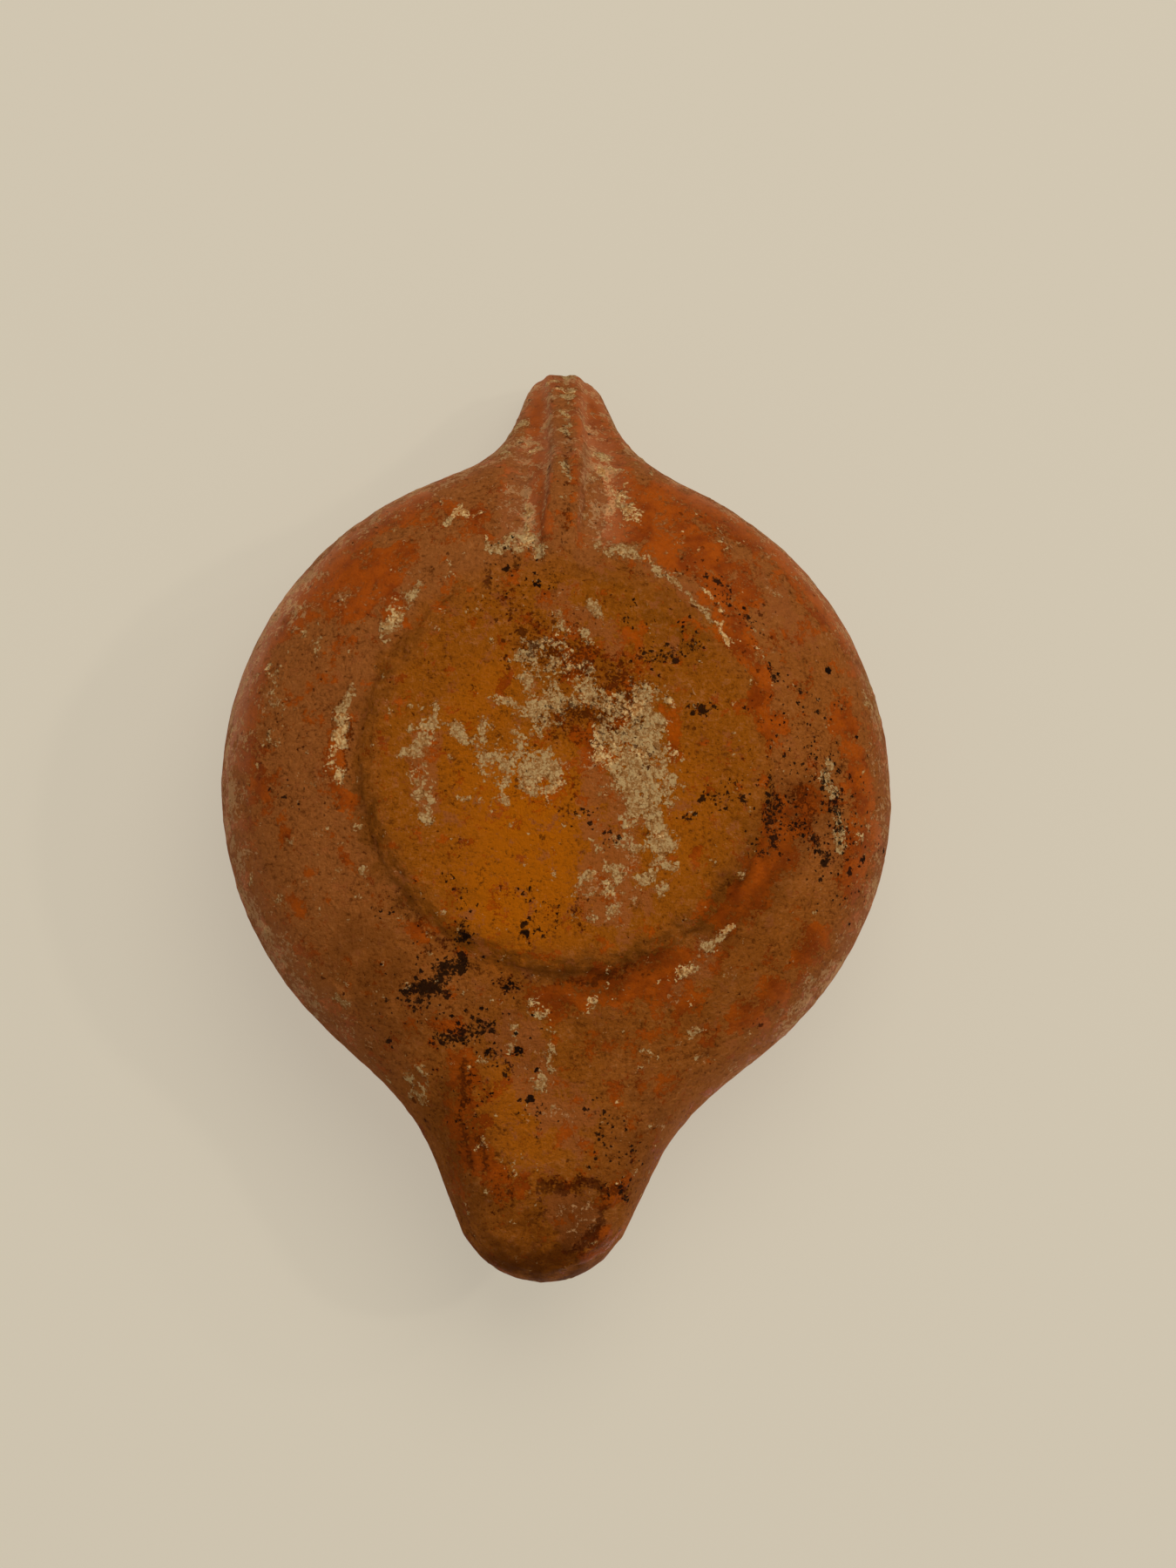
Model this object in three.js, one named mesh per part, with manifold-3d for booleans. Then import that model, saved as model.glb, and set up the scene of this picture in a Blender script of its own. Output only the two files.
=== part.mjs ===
// A Roman mould-made oil lamp of red-slipped clay, standing on its ring foot.
//
// Millimetres, +Z up. The nozzle points along -Y and the lug handle along +Y, and the two sides mirror
// each other in X. Every size below is drawn about the centre of the ring foot. At the end the lamp is
// moved along Y, so that the origin lies midway between the ends, on the plane that the lamp stands on.
//
// The lamp is one fired piece: a lower and an upper mould half luted together along a waist line.
// Its outside is two height fields, below and above the waist, over one plan outline. The outline is
// the soft union of a round body, a tapered nozzle and a tapered handle, held as a signed distance.
// It is hollow, with an oil hole in the middle of the sunk discus and a wick hole in the nozzle.

import * as THREE from "three";
import { mergeVertices } from "three/addons/utils/BufferGeometryUtils.js";
import Module from "manifold-3d";

const { smoothstep, lerp, degToRad } = THREE.MathUtils;

// Plan outline.
const BODY_RADIUS = 41;
const NOZZLE = { rootY: -20, rootRadius: 22.4, tipY: -49.1, tipRadius: 11, fillet: 6.7 };
const HANDLE = { rootY: 33.3, rootRadius: 10.6, tipY: 51.4, tipRadius: 4.6, fillet: 6 };
const NOZZLE_END = Math.abs(NOZZLE.tipY) + NOZZLE.tipRadius;
const HANDLE_END = HANDLE.tipY + HANDLE.tipRadius;

// Waist, where the two mould halves meet: level round the body, higher at the nozzle and the handle.
const WAIST = { height: 17, nozzleRise: 3, handleRise: 19, handleCurve: 1.15, riseStart: 39 };

// Underside: the bowl, the flat keel of the nozzle, the lug and the two hollows pinched beside its ridge.
const BOWL = { height: 17.25, reach: 30 };
const NOZZLE_KEEL = { start: 25, height: 1.9, slope: 0.36, soft: 2.2 };
const LUG = { depth: 5.5, deepenBelow: 43, slope: 0.54, soft: 1 };
const PINCH = { depth: 1.7, offset: 4.6, width: 2.3, start: 27, end: 47, fade: 6, edgeFade: 4 };
const FOOT = {
  collarRadius: 25.6,
  rootRadius: 25,
  edgeRadius: 24.3,
  ringOutside: 23.2,
  ringInside: 20.2,
  height: 1.8,
  dish: 1.3,
};
const FOOT_EDGE_SHARE = 0.35;
const RIDGE = { width: 3.7, start: 23, end: 54.8, proud: 1.6, fade: 5, bevel: 0.7, stations: 18 };

// Top: a rounded shoulder, with a discus and a channel sunk in it and a raised lip round both.
const SHOULDER = { height: 11.2, reach: 19 };
const NOZZLE_TOP = { height: 7, soft: 1.6, start: 31, end: 45 };
const NOZZLE_DROP = { most: 2.2, start: 24, end: 58 };
const LUG_TOP = { height: 4.6, soft: 3, start: 32, end: 44 };
const LUG_GROOVE = { depth: 1.1, width: 1.3, start: 36, end: 44, edgeFade: 3 };
const DISCUS = { radius: 24.6, floor: 24.9, bevel: 1.2 };
const CHANNEL = { halfWidth: 5.4, endY: -49.4, fillet: 6 };
const LIP = { width: 1.5, top: 28.9, bottom: 22, bevel: 0.6 };
const DEGREES_PER_STEP = 8;

// Hollow.
const WALL = { side: 3.4, floor: 3.3, roof: 3.2, soft: 1.5 };
const OIL_HOLE = { y: 0, radius: 4.2, flare: 0.5 };
const WICK_HOLE = { y: CHANNEL.endY, radius: 4.6, flare: 0.6 };
const HOLE = { sides: 28, flareDepth: 1, bottom: 15.5, top: 34 };

// Fineness of the two grids of points.
const OUTSIDE_GRID = { directions: 88, rings: 11 };
const HOLLOW_GRID = { directions: 44, rings: 6, inner: [12, 22] };
const SAME_POINT = 1e-4;
const HALVINGS = 40;
const FARTHEST = 80;
const DIRECTION_STEPS = 1440;
const HANDLE_DENSITY = { towards: 90, width: 13, extra: 4.5 };
const NOZZLE_DENSITY = { towards: 270, width: 30, extra: 1.6 };

const CLAY = new THREE.MeshStandardMaterial({ color: 0xb5602c, roughness: 0.78, metalness: 0 });

// The lower of two values, rounded off where they are within `soft` of each other.
function softMin(a, b, soft) {
  const mix = Math.max(soft - Math.abs(a - b), 0) / soft;
  return Math.min(a, b) - (mix * mix * soft) / 4;
}

function softMax(a, b, soft) {
  return -softMin(-a, -b, soft);
}

// A bell from 1 at the middle to nearly 0 at twice the width.
function bell(offset, width) {
  return Math.exp(-((offset / width) ** 2));
}

// Signed distance in plan to the hull of two circles on the Y axis, a wide root and a narrow tip.
function taperedArm(x, y, { rootY, rootRadius, tipY, tipRadius }) {
  const length = Math.abs(tipY - rootY);
  const along = (y - rootY) * Math.sign(tipY - rootY);
  const across = Math.abs(x);
  const sine = (rootRadius - tipRadius) / length;
  const cosine = Math.sqrt(1 - sine * sine);
  const side = along * cosine - across * sine;
  if (side < 0) {
    return Math.hypot(across, along) - rootRadius;
  }
  if (side > cosine * length) {
    return Math.hypot(across, along - length) - tipRadius;
  }
  return across * cosine + along * sine - rootRadius;
}

// Signed distance to the outline of the hollow part, the body and the nozzle.
function vesselDistance(x, y) {
  return softMin(Math.hypot(x, y) - BODY_RADIUS, taperedArm(x, y, NOZZLE), NOZZLE.fillet);
}

// Signed distance to the whole outline, handle included.
function outlineDistance(x, y) {
  return softMin(vesselDistance(x, y), taperedArm(x, y, HANDLE), HANDLE.fillet);
}

function waistHeight(x, y) {
  const radius = Math.hypot(x, y);
  if (y < 0) {
    return WAIST.height + WAIST.nozzleRise * smoothstep(radius, WAIST.riseStart, NOZZLE_END);
  }
  const along = Math.max(radius - WAIST.riseStart, 0) / (HANDLE_END - WAIST.riseStart);
  return WAIST.height + WAIST.handleRise * Math.pow(along, WAIST.handleCurve);
}

// A rounded rise, upright at the edge, that levels off `reach` inside it.
function pillow(inside, { height, reach }) {
  const left = 1 - Math.min(Math.max(inside, 0) / reach, 1);
  return height * Math.sqrt(1 - left * left);
}

// How far the underside lies below the waist at a place `inside` the edge, leaving out the foot.
function bowlDepth(x, y, inside) {
  const bowl = pillow(inside, BOWL);
  if (y < 0) {
    const flat = NOZZLE_KEEL.height + NOZZLE_KEEL.slope * (Math.abs(y) - NOZZLE_KEEL.start);
    return Math.max(softMin(bowl, waistHeight(x, y) - flat, NOZZLE_KEEL.soft), 0);
  }
  const lug = LUG.depth + LUG.slope * Math.max(LUG.deepenBelow - Math.hypot(x, y), 0);
  const flank = pillow(-vesselDistance(x, y), BOWL) + LUG.soft;
  const rises = smoothstep(y, PINCH.start, PINCH.start + PINCH.fade);
  const falls = 1 - smoothstep(y, PINCH.end, PINCH.end + PINCH.fade);
  const beside = bell(Math.abs(x) - PINCH.offset, PINCH.width) * Math.min(inside / PINCH.edgeFade, 1);
  const depth = softMin(bowl, softMax(flank, lug, LUG.soft), LUG.soft);
  return Math.max(depth - PINCH.depth * beside * rises * falls, 0);
}

// The foot's own profile: a shallow dish, the flat ring that the lamp stands on, and a rounded edge.
function footHeight(radius) {
  const { rootRadius, edgeRadius, ringOutside, ringInside, height, dish } = FOOT;
  if (radius <= ringInside) {
    return dish * (1 - smoothstep(radius, 0, ringInside));
  }
  const edgeHeight = height * FOOT_EDGE_SHARE;
  if (radius <= edgeRadius) {
    return edgeHeight * (Math.max(radius - ringOutside, 0) / (edgeRadius - ringOutside)) ** 2;
  }
  return lerp(edgeHeight, height, (radius - edgeRadius) / (rootRadius - edgeRadius));
}

function undersideHeight(x, y) {
  const radius = Math.hypot(x, y);
  if (radius <= FOOT.rootRadius) {
    return footHeight(radius);
  }
  return waistHeight(x, y) - bowlDepth(x, y, -outlineDistance(x, y));
}

// How much lower the channel and its lip lie at a place along the nozzle than at the discus.
function nozzleDrop(y) {
  return NOZZLE_DROP.most * smoothstep(-y, NOZZLE_DROP.start, NOZZLE_DROP.end);
}

// Height of the top before the discus and the channel are sunk in it.
function topHeight(x, y) {
  const inside = -outlineDistance(x, y);
  const radius = Math.hypot(x, y);
  const shoulder = pillow(inside, SHOULDER);
  if (y < 0) {
    const flat = lerp(SHOULDER.height, NOZZLE_TOP.height, smoothstep(-y, NOZZLE_TOP.start, NOZZLE_TOP.end));
    return waistHeight(x, y) + Math.max(softMin(shoulder, flat, NOZZLE_TOP.soft), 0);
  }
  const flat = lerp(SHOULDER.height, LUG_TOP.height, smoothstep(radius, LUG_TOP.start, LUG_TOP.end));
  const along = smoothstep(y, LUG_GROOVE.start, LUG_GROOVE.end) * Math.min(inside / LUG_GROOVE.edgeFade, 1);
  const groove = LUG_GROOVE.depth * bell(x, LUG_GROOVE.width) * along;
  return waistHeight(x, y) + Math.max(softMin(shoulder, flat, LUG_TOP.soft) - groove, 0);
}

// The hollow's floor and roof: the outside taken in by the wall, closing at the wall's inner edge.
function hollowFloor(x, y) {
  const inside = -vesselDistance(x, y);
  const foot = waistHeight(x, y) - FOOT.height;
  const outside = Math.hypot(x, y) <= FOOT.rootRadius ? foot : bowlDepth(x, y, inside);
  const depth = softMin(pillow(inside - WALL.side, BOWL), outside - WALL.floor, WALL.soft);
  return waistHeight(x, y) - Math.max(depth, 0);
}

function hollowRoof(x, y) {
  const inside = -vesselDistance(x, y);
  const underShoulder = pillow(inside - WALL.side, SHOULDER);
  const underDiscus = DISCUS.floor - nozzleDrop(y) - WALL.roof - waistHeight(x, y);
  return waistHeight(x, y) + Math.max(softMin(underShoulder, underDiscus, WALL.soft), 0);
}

// How far out, in one direction, a plan distance reaches `level`, found by halving.
function reachOf(direction, distance, level) {
  let near = 0;
  let far = FARTHEST;
  for (let step = 0; step < HALVINGS; step += 1) {
    const radius = (near + far) / 2;
    if (distance(radius * Math.cos(direction), radius * Math.sin(direction)) < level) {
      near = radius;
    } else {
      far = radius;
    }
  }
  return near;
}

// Directions round the lamp, closer together at the nozzle and closest at the handle.
function spreadDirections(count) {
  const turned = (direction, towards) => ((direction - towards + 540) % 360) - 180;
  const extra = (direction, { towards, width, extra: most }) => {
    return most * bell(turned(direction, towards), width);
  };
  const density = (direction) => {
    return 1 + extra(direction, HANDLE_DENSITY) + extra(direction, NOZZLE_DENSITY);
  };
  const degreesAt = (step) => (step / DIRECTION_STEPS) * 360 - 90;
  const running = [0];
  for (let step = 0; step < DIRECTION_STEPS; step += 1) {
    running.push(running[step] + density(degreesAt(step + 0.5)));
  }
  const directions = [];
  let step = 0;
  for (let index = 0; index < count; index += 1) {
    const wanted = (running[DIRECTION_STEPS] * index) / count;
    while (running[step + 1] < wanted) {
      step += 1;
    }
    const share = (wanted - running[step]) / (running[step + 1] - running[step]);
    directions.push(degToRad(degreesAt(step + share)));
  }
  return directions;
}

// The corners of one or two triangles between two neighbouring rows, split the same way on both sides.
function facetCorners(row, next, ring, mirrored) {
  if (ring === 0) {
    return [row[0], row[1], next[1]];
  }
  if (mirrored) {
    return [row[ring], row[ring + 1], next[ring], row[ring + 1], next[ring + 1], next[ring]];
  }
  return [row[ring], row[ring + 1], next[ring + 1], row[ring], next[ring + 1], next[ring]];
}

// A closed solid between two height fields over one outline: rings of points from a middle point to
// the edge, at the stated inner radii and then closer together towards the edge, below and above.
function fieldSolid({ directions, distance, level, lower, upper, lowerRings, upperRings, rings }) {
  const positions = [];
  const faces = [];
  const place = (x, y, z) => positions.push(x, y, z) / 3 - 1;
  const reaches = directions.map((direction) => reachOf(direction, distance, level));
  const edge = directions.map((direction, index) => {
    const x = reaches[index] * Math.cos(direction);
    const y = reaches[index] * Math.sin(direction);
    return place(x, y, waistHeight(x, y));
  });

  function sheet(height, inner, facesUp) {
    const middle = place(0, 0, height(0, 0));
    const rows = directions.map((direction, index) => {
      const last = inner[inner.length - 1];
      const radii = [...inner];
      for (let ring = 1; ring < rings; ring += 1) {
        radii.push(last + (reaches[index] - last) * Math.sin(((ring / rings) * Math.PI) / 2));
      }
      const row = radii.map((radius) => {
        const x = radius * Math.cos(direction);
        const y = radius * Math.sin(direction);
        return place(x, y, height(x, y));
      });
      return [middle, ...row, edge[index]];
    });
    rows.forEach((row, index) => {
      const next = rows[(index + 1) % rows.length];
      for (let ring = 0; ring + 1 < row.length; ring += 1) {
        const corners = facetCorners(row, next, ring, Math.cos(directions[index]) > 0);
        faces.push(...(facesUp ? corners : corners.reverse()));
      }
    });
  }

  sheet(lower, lowerRings, false);
  sheet(upper, upperRings, true);
  const geometry = new THREE.BufferGeometry();
  geometry.setAttribute("position", new THREE.Float32BufferAttribute(positions, 3));
  geometry.setIndex(faces);
  return geometry;
}

function outsideGeometry() {
  const { collarRadius, rootRadius, edgeRadius, ringOutside, ringInside } = FOOT;
  const dishRings = [ringInside / 3, (ringInside * 2) / 3];
  return fieldSolid({
    directions: spreadDirections(OUTSIDE_GRID.directions),
    distance: outlineDistance,
    level: 0,
    lower: undersideHeight,
    upper: topHeight,
    lowerRings: [...dishRings, ringInside, ringOutside, edgeRadius, rootRadius, collarRadius],
    upperRings: [DISCUS.radius],
    rings: OUTSIDE_GRID.rings,
  });
}

function hollowGeometry() {
  return fieldSolid({
    directions: spreadDirections(HOLLOW_GRID.directions),
    distance: vesselDistance,
    level: -WALL.side,
    lower: hollowFloor,
    upper: hollowRoof,
    lowerRings: HOLLOW_GRID.inner,
    upperRings: HOLLOW_GRID.inner,
    rings: HOLLOW_GRID.rings,
  });
}

// The narrow ridge that runs from the foot up the middle of the lug's underside to its tip.
function ridgeGeometry() {
  const profile = new THREE.Shape();
  const stationY = (station) => lerp(RIDGE.start, RIDGE.end, station / RIDGE.stations);
  const proud = (y) => RIDGE.proud * smoothstep(y, RIDGE.start, RIDGE.start + RIDGE.fade);
  const edgeHeight = (y) => undersideHeight(0, y) - proud(y);
  profile.moveTo(stationY(0), edgeHeight(stationY(0)));
  for (let station = 1; station <= RIDGE.stations; station += 1) {
    profile.lineTo(stationY(station), edgeHeight(stationY(station)));
  }
  for (let station = RIDGE.stations; station >= 0; station -= 1) {
    profile.lineTo(stationY(station), waistHeight(0, stationY(station)));
  }
  profile.closePath();
  const geometry = new THREE.ExtrudeGeometry(profile, {
    depth: RIDGE.width - 2 * RIDGE.bevel,
    bevelSize: RIDGE.bevel,
    bevelOffset: -RIDGE.bevel,
    bevelThickness: RIDGE.bevel,
    bevelSegments: 2,
  });
  geometry.translate(0, 0, RIDGE.bevel - RIDGE.width / 2);
  // The profile's own X and Y are the lamp's Y and Z, and its thickness lies along the lamp's X.
  const upright = new THREE.Matrix4().makeBasis(
    new THREE.Vector3(0, 1, 0),
    new THREE.Vector3(0, 0, 1),
    new THREE.Vector3(1, 0, 0),
  );
  return geometry.applyMatrix4(upright);
}

// Points of an arc about (x, y), from one angle to another, both ends included.
function arcPoints(x, y, radius, from, to) {
  const steps = Math.ceil(Math.abs(to - from) / degToRad(DEGREES_PER_STEP));
  return Array.from({ length: steps + 1 }, (_, step) => {
    const angle = lerp(from, to, step / steps);
    return new THREE.Vector2(x + radius * Math.cos(angle), y + radius * Math.sin(angle));
  });
}

// Plan of the discus joined to the channel, grown all round by `grow`, with a fillet where they meet.
function discusPlan(grow) {
  const radius = DISCUS.radius + grow;
  const halfWidth = CHANNEL.halfWidth + grow;
  const fillet = CHANNEL.fillet - grow;
  const filletX = halfWidth + fillet;
  const filletY = -Math.sqrt((radius + fillet) ** 2 - filletX ** 2);
  const turn = Math.atan2(filletY, filletX);
  return new THREE.Shape([
    ...arcPoints(0, 0, radius, turn, Math.PI - turn),
    ...arcPoints(-filletX, filletY, fillet, -turn, 0),
    ...arcPoints(0, CHANNEL.endY, halfWidth, -Math.PI, 0),
    ...arcPoints(filletX, filletY, fillet, Math.PI, Math.PI + turn),
  ]);
}

// The plan made into a block from one height to another, with bevelled edges, lower along the nozzle.
function planGeometry(grow, bottom, top, bevel) {
  const geometry = new THREE.ExtrudeGeometry(discusPlan(grow), {
    depth: top - bottom - 2 * bevel,
    bevelSize: bevel,
    bevelOffset: -bevel,
    bevelThickness: bevel,
    bevelSegments: 1,
  });
  geometry.translate(0, 0, bottom + bevel);
  const { position } = geometry.attributes;
  for (let index = 0; index < position.count; index += 1) {
    position.setZ(index, position.getZ(index) - nozzleDrop(position.getY(index)));
  }
  return geometry;
}

// A hole straight down through the top wall, a little wider at the surface.
function holeGeometry({ y, radius, flare }) {
  const surface = DISCUS.floor - nozzleDrop(y);
  const profile = [
    [0, HOLE.bottom],
    [radius, HOLE.bottom],
    [radius, surface - HOLE.flareDepth],
    [radius + flare, surface],
    [radius + flare, HOLE.top],
    [0, HOLE.top],
  ];
  const geometry = new THREE.LatheGeometry(profile.map(([r, z]) => new THREE.Vector2(r, z)), HOLE.sides);
  return geometry.rotateX(Math.PI / 2).translate(0, y, 0);
}

const wasm = await Module();
wasm.setup();

function toSolid(geometry) {
  const bare = geometry.clone();
  bare.deleteAttribute("normal");
  bare.deleteAttribute("uv");
  const merged = mergeVertices(bare, SAME_POINT);
  const mesh = new wasm.Mesh({
    numProp: 3,
    vertProperties: new Float32Array(merged.attributes.position.array),
    triVerts: new Uint32Array(merged.index.array),
  });
  const solid = new wasm.Manifold(mesh);
  if (solid.volume() <= 0) {
    throw new Error("a solid is inside out");
  }
  return solid;
}

function toGeometry(solid) {
  const mesh = solid.getMesh();
  const geometry = new THREE.BufferGeometry();
  geometry.setAttribute("position", new THREE.Float32BufferAttribute(mesh.vertProperties, mesh.numProp));
  geometry.setIndex(new THREE.Uint32BufferAttribute(mesh.triVerts, 1));
  geometry.computeVertexNormals();
  return geometry;
}

function lampSolid() {
  const outside = toSolid(outsideGeometry());
  const ridge = toSolid(ridgeGeometry());
  const lip = toSolid(planGeometry(LIP.width, LIP.bottom, LIP.top, LIP.bevel));
  const sunk = toSolid(planGeometry(0, DISCUS.floor, HOLE.top, DISCUS.bevel));
  const hollow = toSolid(hollowGeometry());
  const block = outside.add(ridge).add(lip);
  const shell = block.subtract(sunk).subtract(hollow);
  return shell.subtract(toSolid(holeGeometry(OIL_HOLE))).subtract(toSolid(holeGeometry(WICK_HOLE)));
}

const lamp = new THREE.Mesh(toGeometry(lampSolid()), CLAY);
lamp.name = "oil_lamp";
lamp.position.y = (NOZZLE_END - HANDLE_END) / 2;

const group = new THREE.Group();
group.add(lamp);

export default group;
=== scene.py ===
"""Looks of the red-slipped clay oil lamp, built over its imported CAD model."""

import logging
import math
from dataclasses import asdict, dataclass, field
from enum import Enum

import bmesh
import bpy
import numpy as np
from mathutils import Matrix, Vector, noise
from mathutils.bvhtree import BVHTree


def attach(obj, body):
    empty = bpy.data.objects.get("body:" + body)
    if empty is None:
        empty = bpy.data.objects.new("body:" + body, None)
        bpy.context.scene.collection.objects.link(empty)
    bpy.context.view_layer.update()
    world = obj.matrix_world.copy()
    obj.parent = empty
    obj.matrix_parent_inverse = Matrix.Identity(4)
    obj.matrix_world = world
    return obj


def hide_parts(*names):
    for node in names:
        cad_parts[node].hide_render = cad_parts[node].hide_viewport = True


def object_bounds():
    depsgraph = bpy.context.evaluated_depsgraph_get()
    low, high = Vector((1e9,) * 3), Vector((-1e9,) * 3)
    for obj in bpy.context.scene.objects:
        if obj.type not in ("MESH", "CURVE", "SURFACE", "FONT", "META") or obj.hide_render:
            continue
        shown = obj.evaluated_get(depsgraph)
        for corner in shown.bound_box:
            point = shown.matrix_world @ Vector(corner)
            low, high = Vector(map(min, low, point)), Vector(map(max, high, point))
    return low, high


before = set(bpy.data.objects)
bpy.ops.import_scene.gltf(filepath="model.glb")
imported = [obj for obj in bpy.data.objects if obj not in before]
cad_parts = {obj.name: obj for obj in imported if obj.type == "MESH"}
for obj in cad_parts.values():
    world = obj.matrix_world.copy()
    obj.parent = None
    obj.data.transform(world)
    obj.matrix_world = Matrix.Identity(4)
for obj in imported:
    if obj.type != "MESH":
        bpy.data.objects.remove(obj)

CAD_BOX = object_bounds()
LOG = logging.getLogger("oil_lamp")
MM = 0.001
FOOT_CENTRE_Y = 2.05
WICK_Y = -49.4
MIDDLE_HEIGHT = 17.0
ROOT_BODY = "root"
CAD_NODE = "oil_lamp"
PIECE_NAME = "lamp_clay"

Colour = tuple[float, float, float]
Array = np.ndarray
Piece = bpy.types.Object
Material = bpy.types.Material
Tree = bpy.types.NodeTree
Node = bpy.types.Node
Socket = bpy.types.NodeSocket
Feed = Socket | float | Colour

CLAY_GAIN = 1.50
SLIP_GAIN = 1.30
DARK_SLIP_GAIN = 1.28
SOOT_GAIN = 1.22
WARM_WHITE: Colour = (1.0, 0.95, 0.86)


def linear(red: int, green: int, blue: int, gain: float = CLAY_GAIN) -> Colour:
    """Turn a display colour into the linear colour that shaders use.

    Args:
        red: Red, 0 to 255.
        green: Green, 0 to 255.
        blue: Blue, 0 to 255.
        gain: A factor on the linear values.

    Returns:
        The three linear values.
    """

    def one(value: int) -> float:
        """Return one channel's linear value."""
        share = value / 255
        low = share / 12.92
        high = ((share + 0.055) / 1.055) ** 2.4
        return gain * (low if share <= 0.04045 else high)

    return one(red), one(green), one(blue)


def smooth_between(low: float, high: float, value: Array) -> Array:
    """Return the smooth step of value between low and high."""
    share = np.clip((value - low) / (high - low), 0, 1)
    return share * share * (3 - 2 * share)


def bell(offset: Array, width: float) -> Array:
    """Return a bell that is 1 where the offset is nothing."""
    return np.exp(-((offset / width) ** 2))


@dataclass(frozen=True)
class Stroke:
    """One touch of a finish on the underside, in mm from the foot's centre.

    Attributes:
        width: Half the width of the touch.
        weight: How strong it is; over 1, it stays closed where the clay is uneven.
        path: The points that it runs through.
        soft: The share of the width over which it fades, where it isn't the finish's own.
    """

    width: float
    weight: float
    path: tuple[tuple[float, float], ...]
    soft: float | None = None

    def cover(self, points: Array, softness: float) -> Array:
        """Say how much of the stroke each point gets.

        Args:
            points: Points in plan, one row each.
            softness: The share of the width over which it fades.

        Returns:
            One value a point, 0 to the stroke's weight.
        """
        nearest = np.full(len(points), np.inf)
        corners = [np.array(corner, float) for corner in self.path]
        for start, end in zip(corners, corners[1:]):
            along = end - start
            share = np.clip(((points - start) @ along) / float(along @ along), 0, 1)
            gap = points - start - share[:, None] * along
            nearest = np.minimum(nearest, np.hypot(gap[:, 0], gap[:, 1]))
        fade = softness if self.soft is None else self.soft
        inner = self.width * (1 - fade)
        outer = self.width * (1 + fade)
        return self.weight * (1 - smooth_between(inner, outer, nearest))


# Three of these also carry painted shade: the band on one side of the foot's wall, the darkening towards the
# nozzle and the dark lines in the creases.
class Finish(Enum):
    """The finishes that are laid on the underside; each is an attribute of the mesh."""

    CRUST = "crust"
    SLIP = "slip"
    SOOT = "soot"
    MOTTLE = "mottle"
    BRIGHT = "bright"
    OLIVE_AND_SHADE = "olive"
    # Greenish-brown patches, and painted shade on one side of the foot's wall.
    SMOKE = "smoke"
    # Darker towards the nozzle's end: painted shade, partly the clay's dark brown.
    OCHRE = "ochre"
    PINK = "pink"
    # Dark lines: painted shade in the creases, and dark stain lines.
    CREVICE_SHADE_AND_STAIN = "crevice"


class Trace(Enum):
    """What is worked out from the shape itself; each is an attribute of the mesh."""

    INSIDE = "inside"
    EDGE = "edge"
    HOLLOW = "hollow"
    # Paler steep sides, partly haze and partly painted sheen, and the pale haze beside the ridge.
    HAZE_AND_SHEEN = "veil"
    UPPER = "upper"
    BURNT = "burnt"


@dataclass(frozen=True)
class Wear:
    """How a finish is broken up.

    Attributes:
        softness: The share of a stroke's width over which it fades.
        unevenness: How strongly the clay's unevenness adds to it and takes from it.
        size: The size of that unevenness, in mm.
        base: What the whole surface has of it.
    """

    softness: float = 0.8
    unevenness: float = 0.0
    size: float = 2.4
    base: float = 0.0


WEAR: dict[Finish, Wear] = {
    Finish.CRUST: Wear(0.8, 0.75, 1.7),
    Finish.SLIP: Wear(0.8, 0.72, 3.0, 0.10),
    Finish.SOOT: Wear(0.9),
    Finish.MOTTLE: Wear(0.9, 0.35, 2.0, -0.06),
    Finish.BRIGHT: Wear(0.7),
    Finish.OLIVE_AND_SHADE: Wear(0.9),
    Finish.SMOKE: Wear(0.7),
    Finish.OCHRE: Wear(0.12),
    Finish.PINK: Wear(0.4, 0.55, 2.2, 0.10),
    Finish.CREVICE_SHADE_AND_STAIN: Wear(0.9),
}

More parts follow.
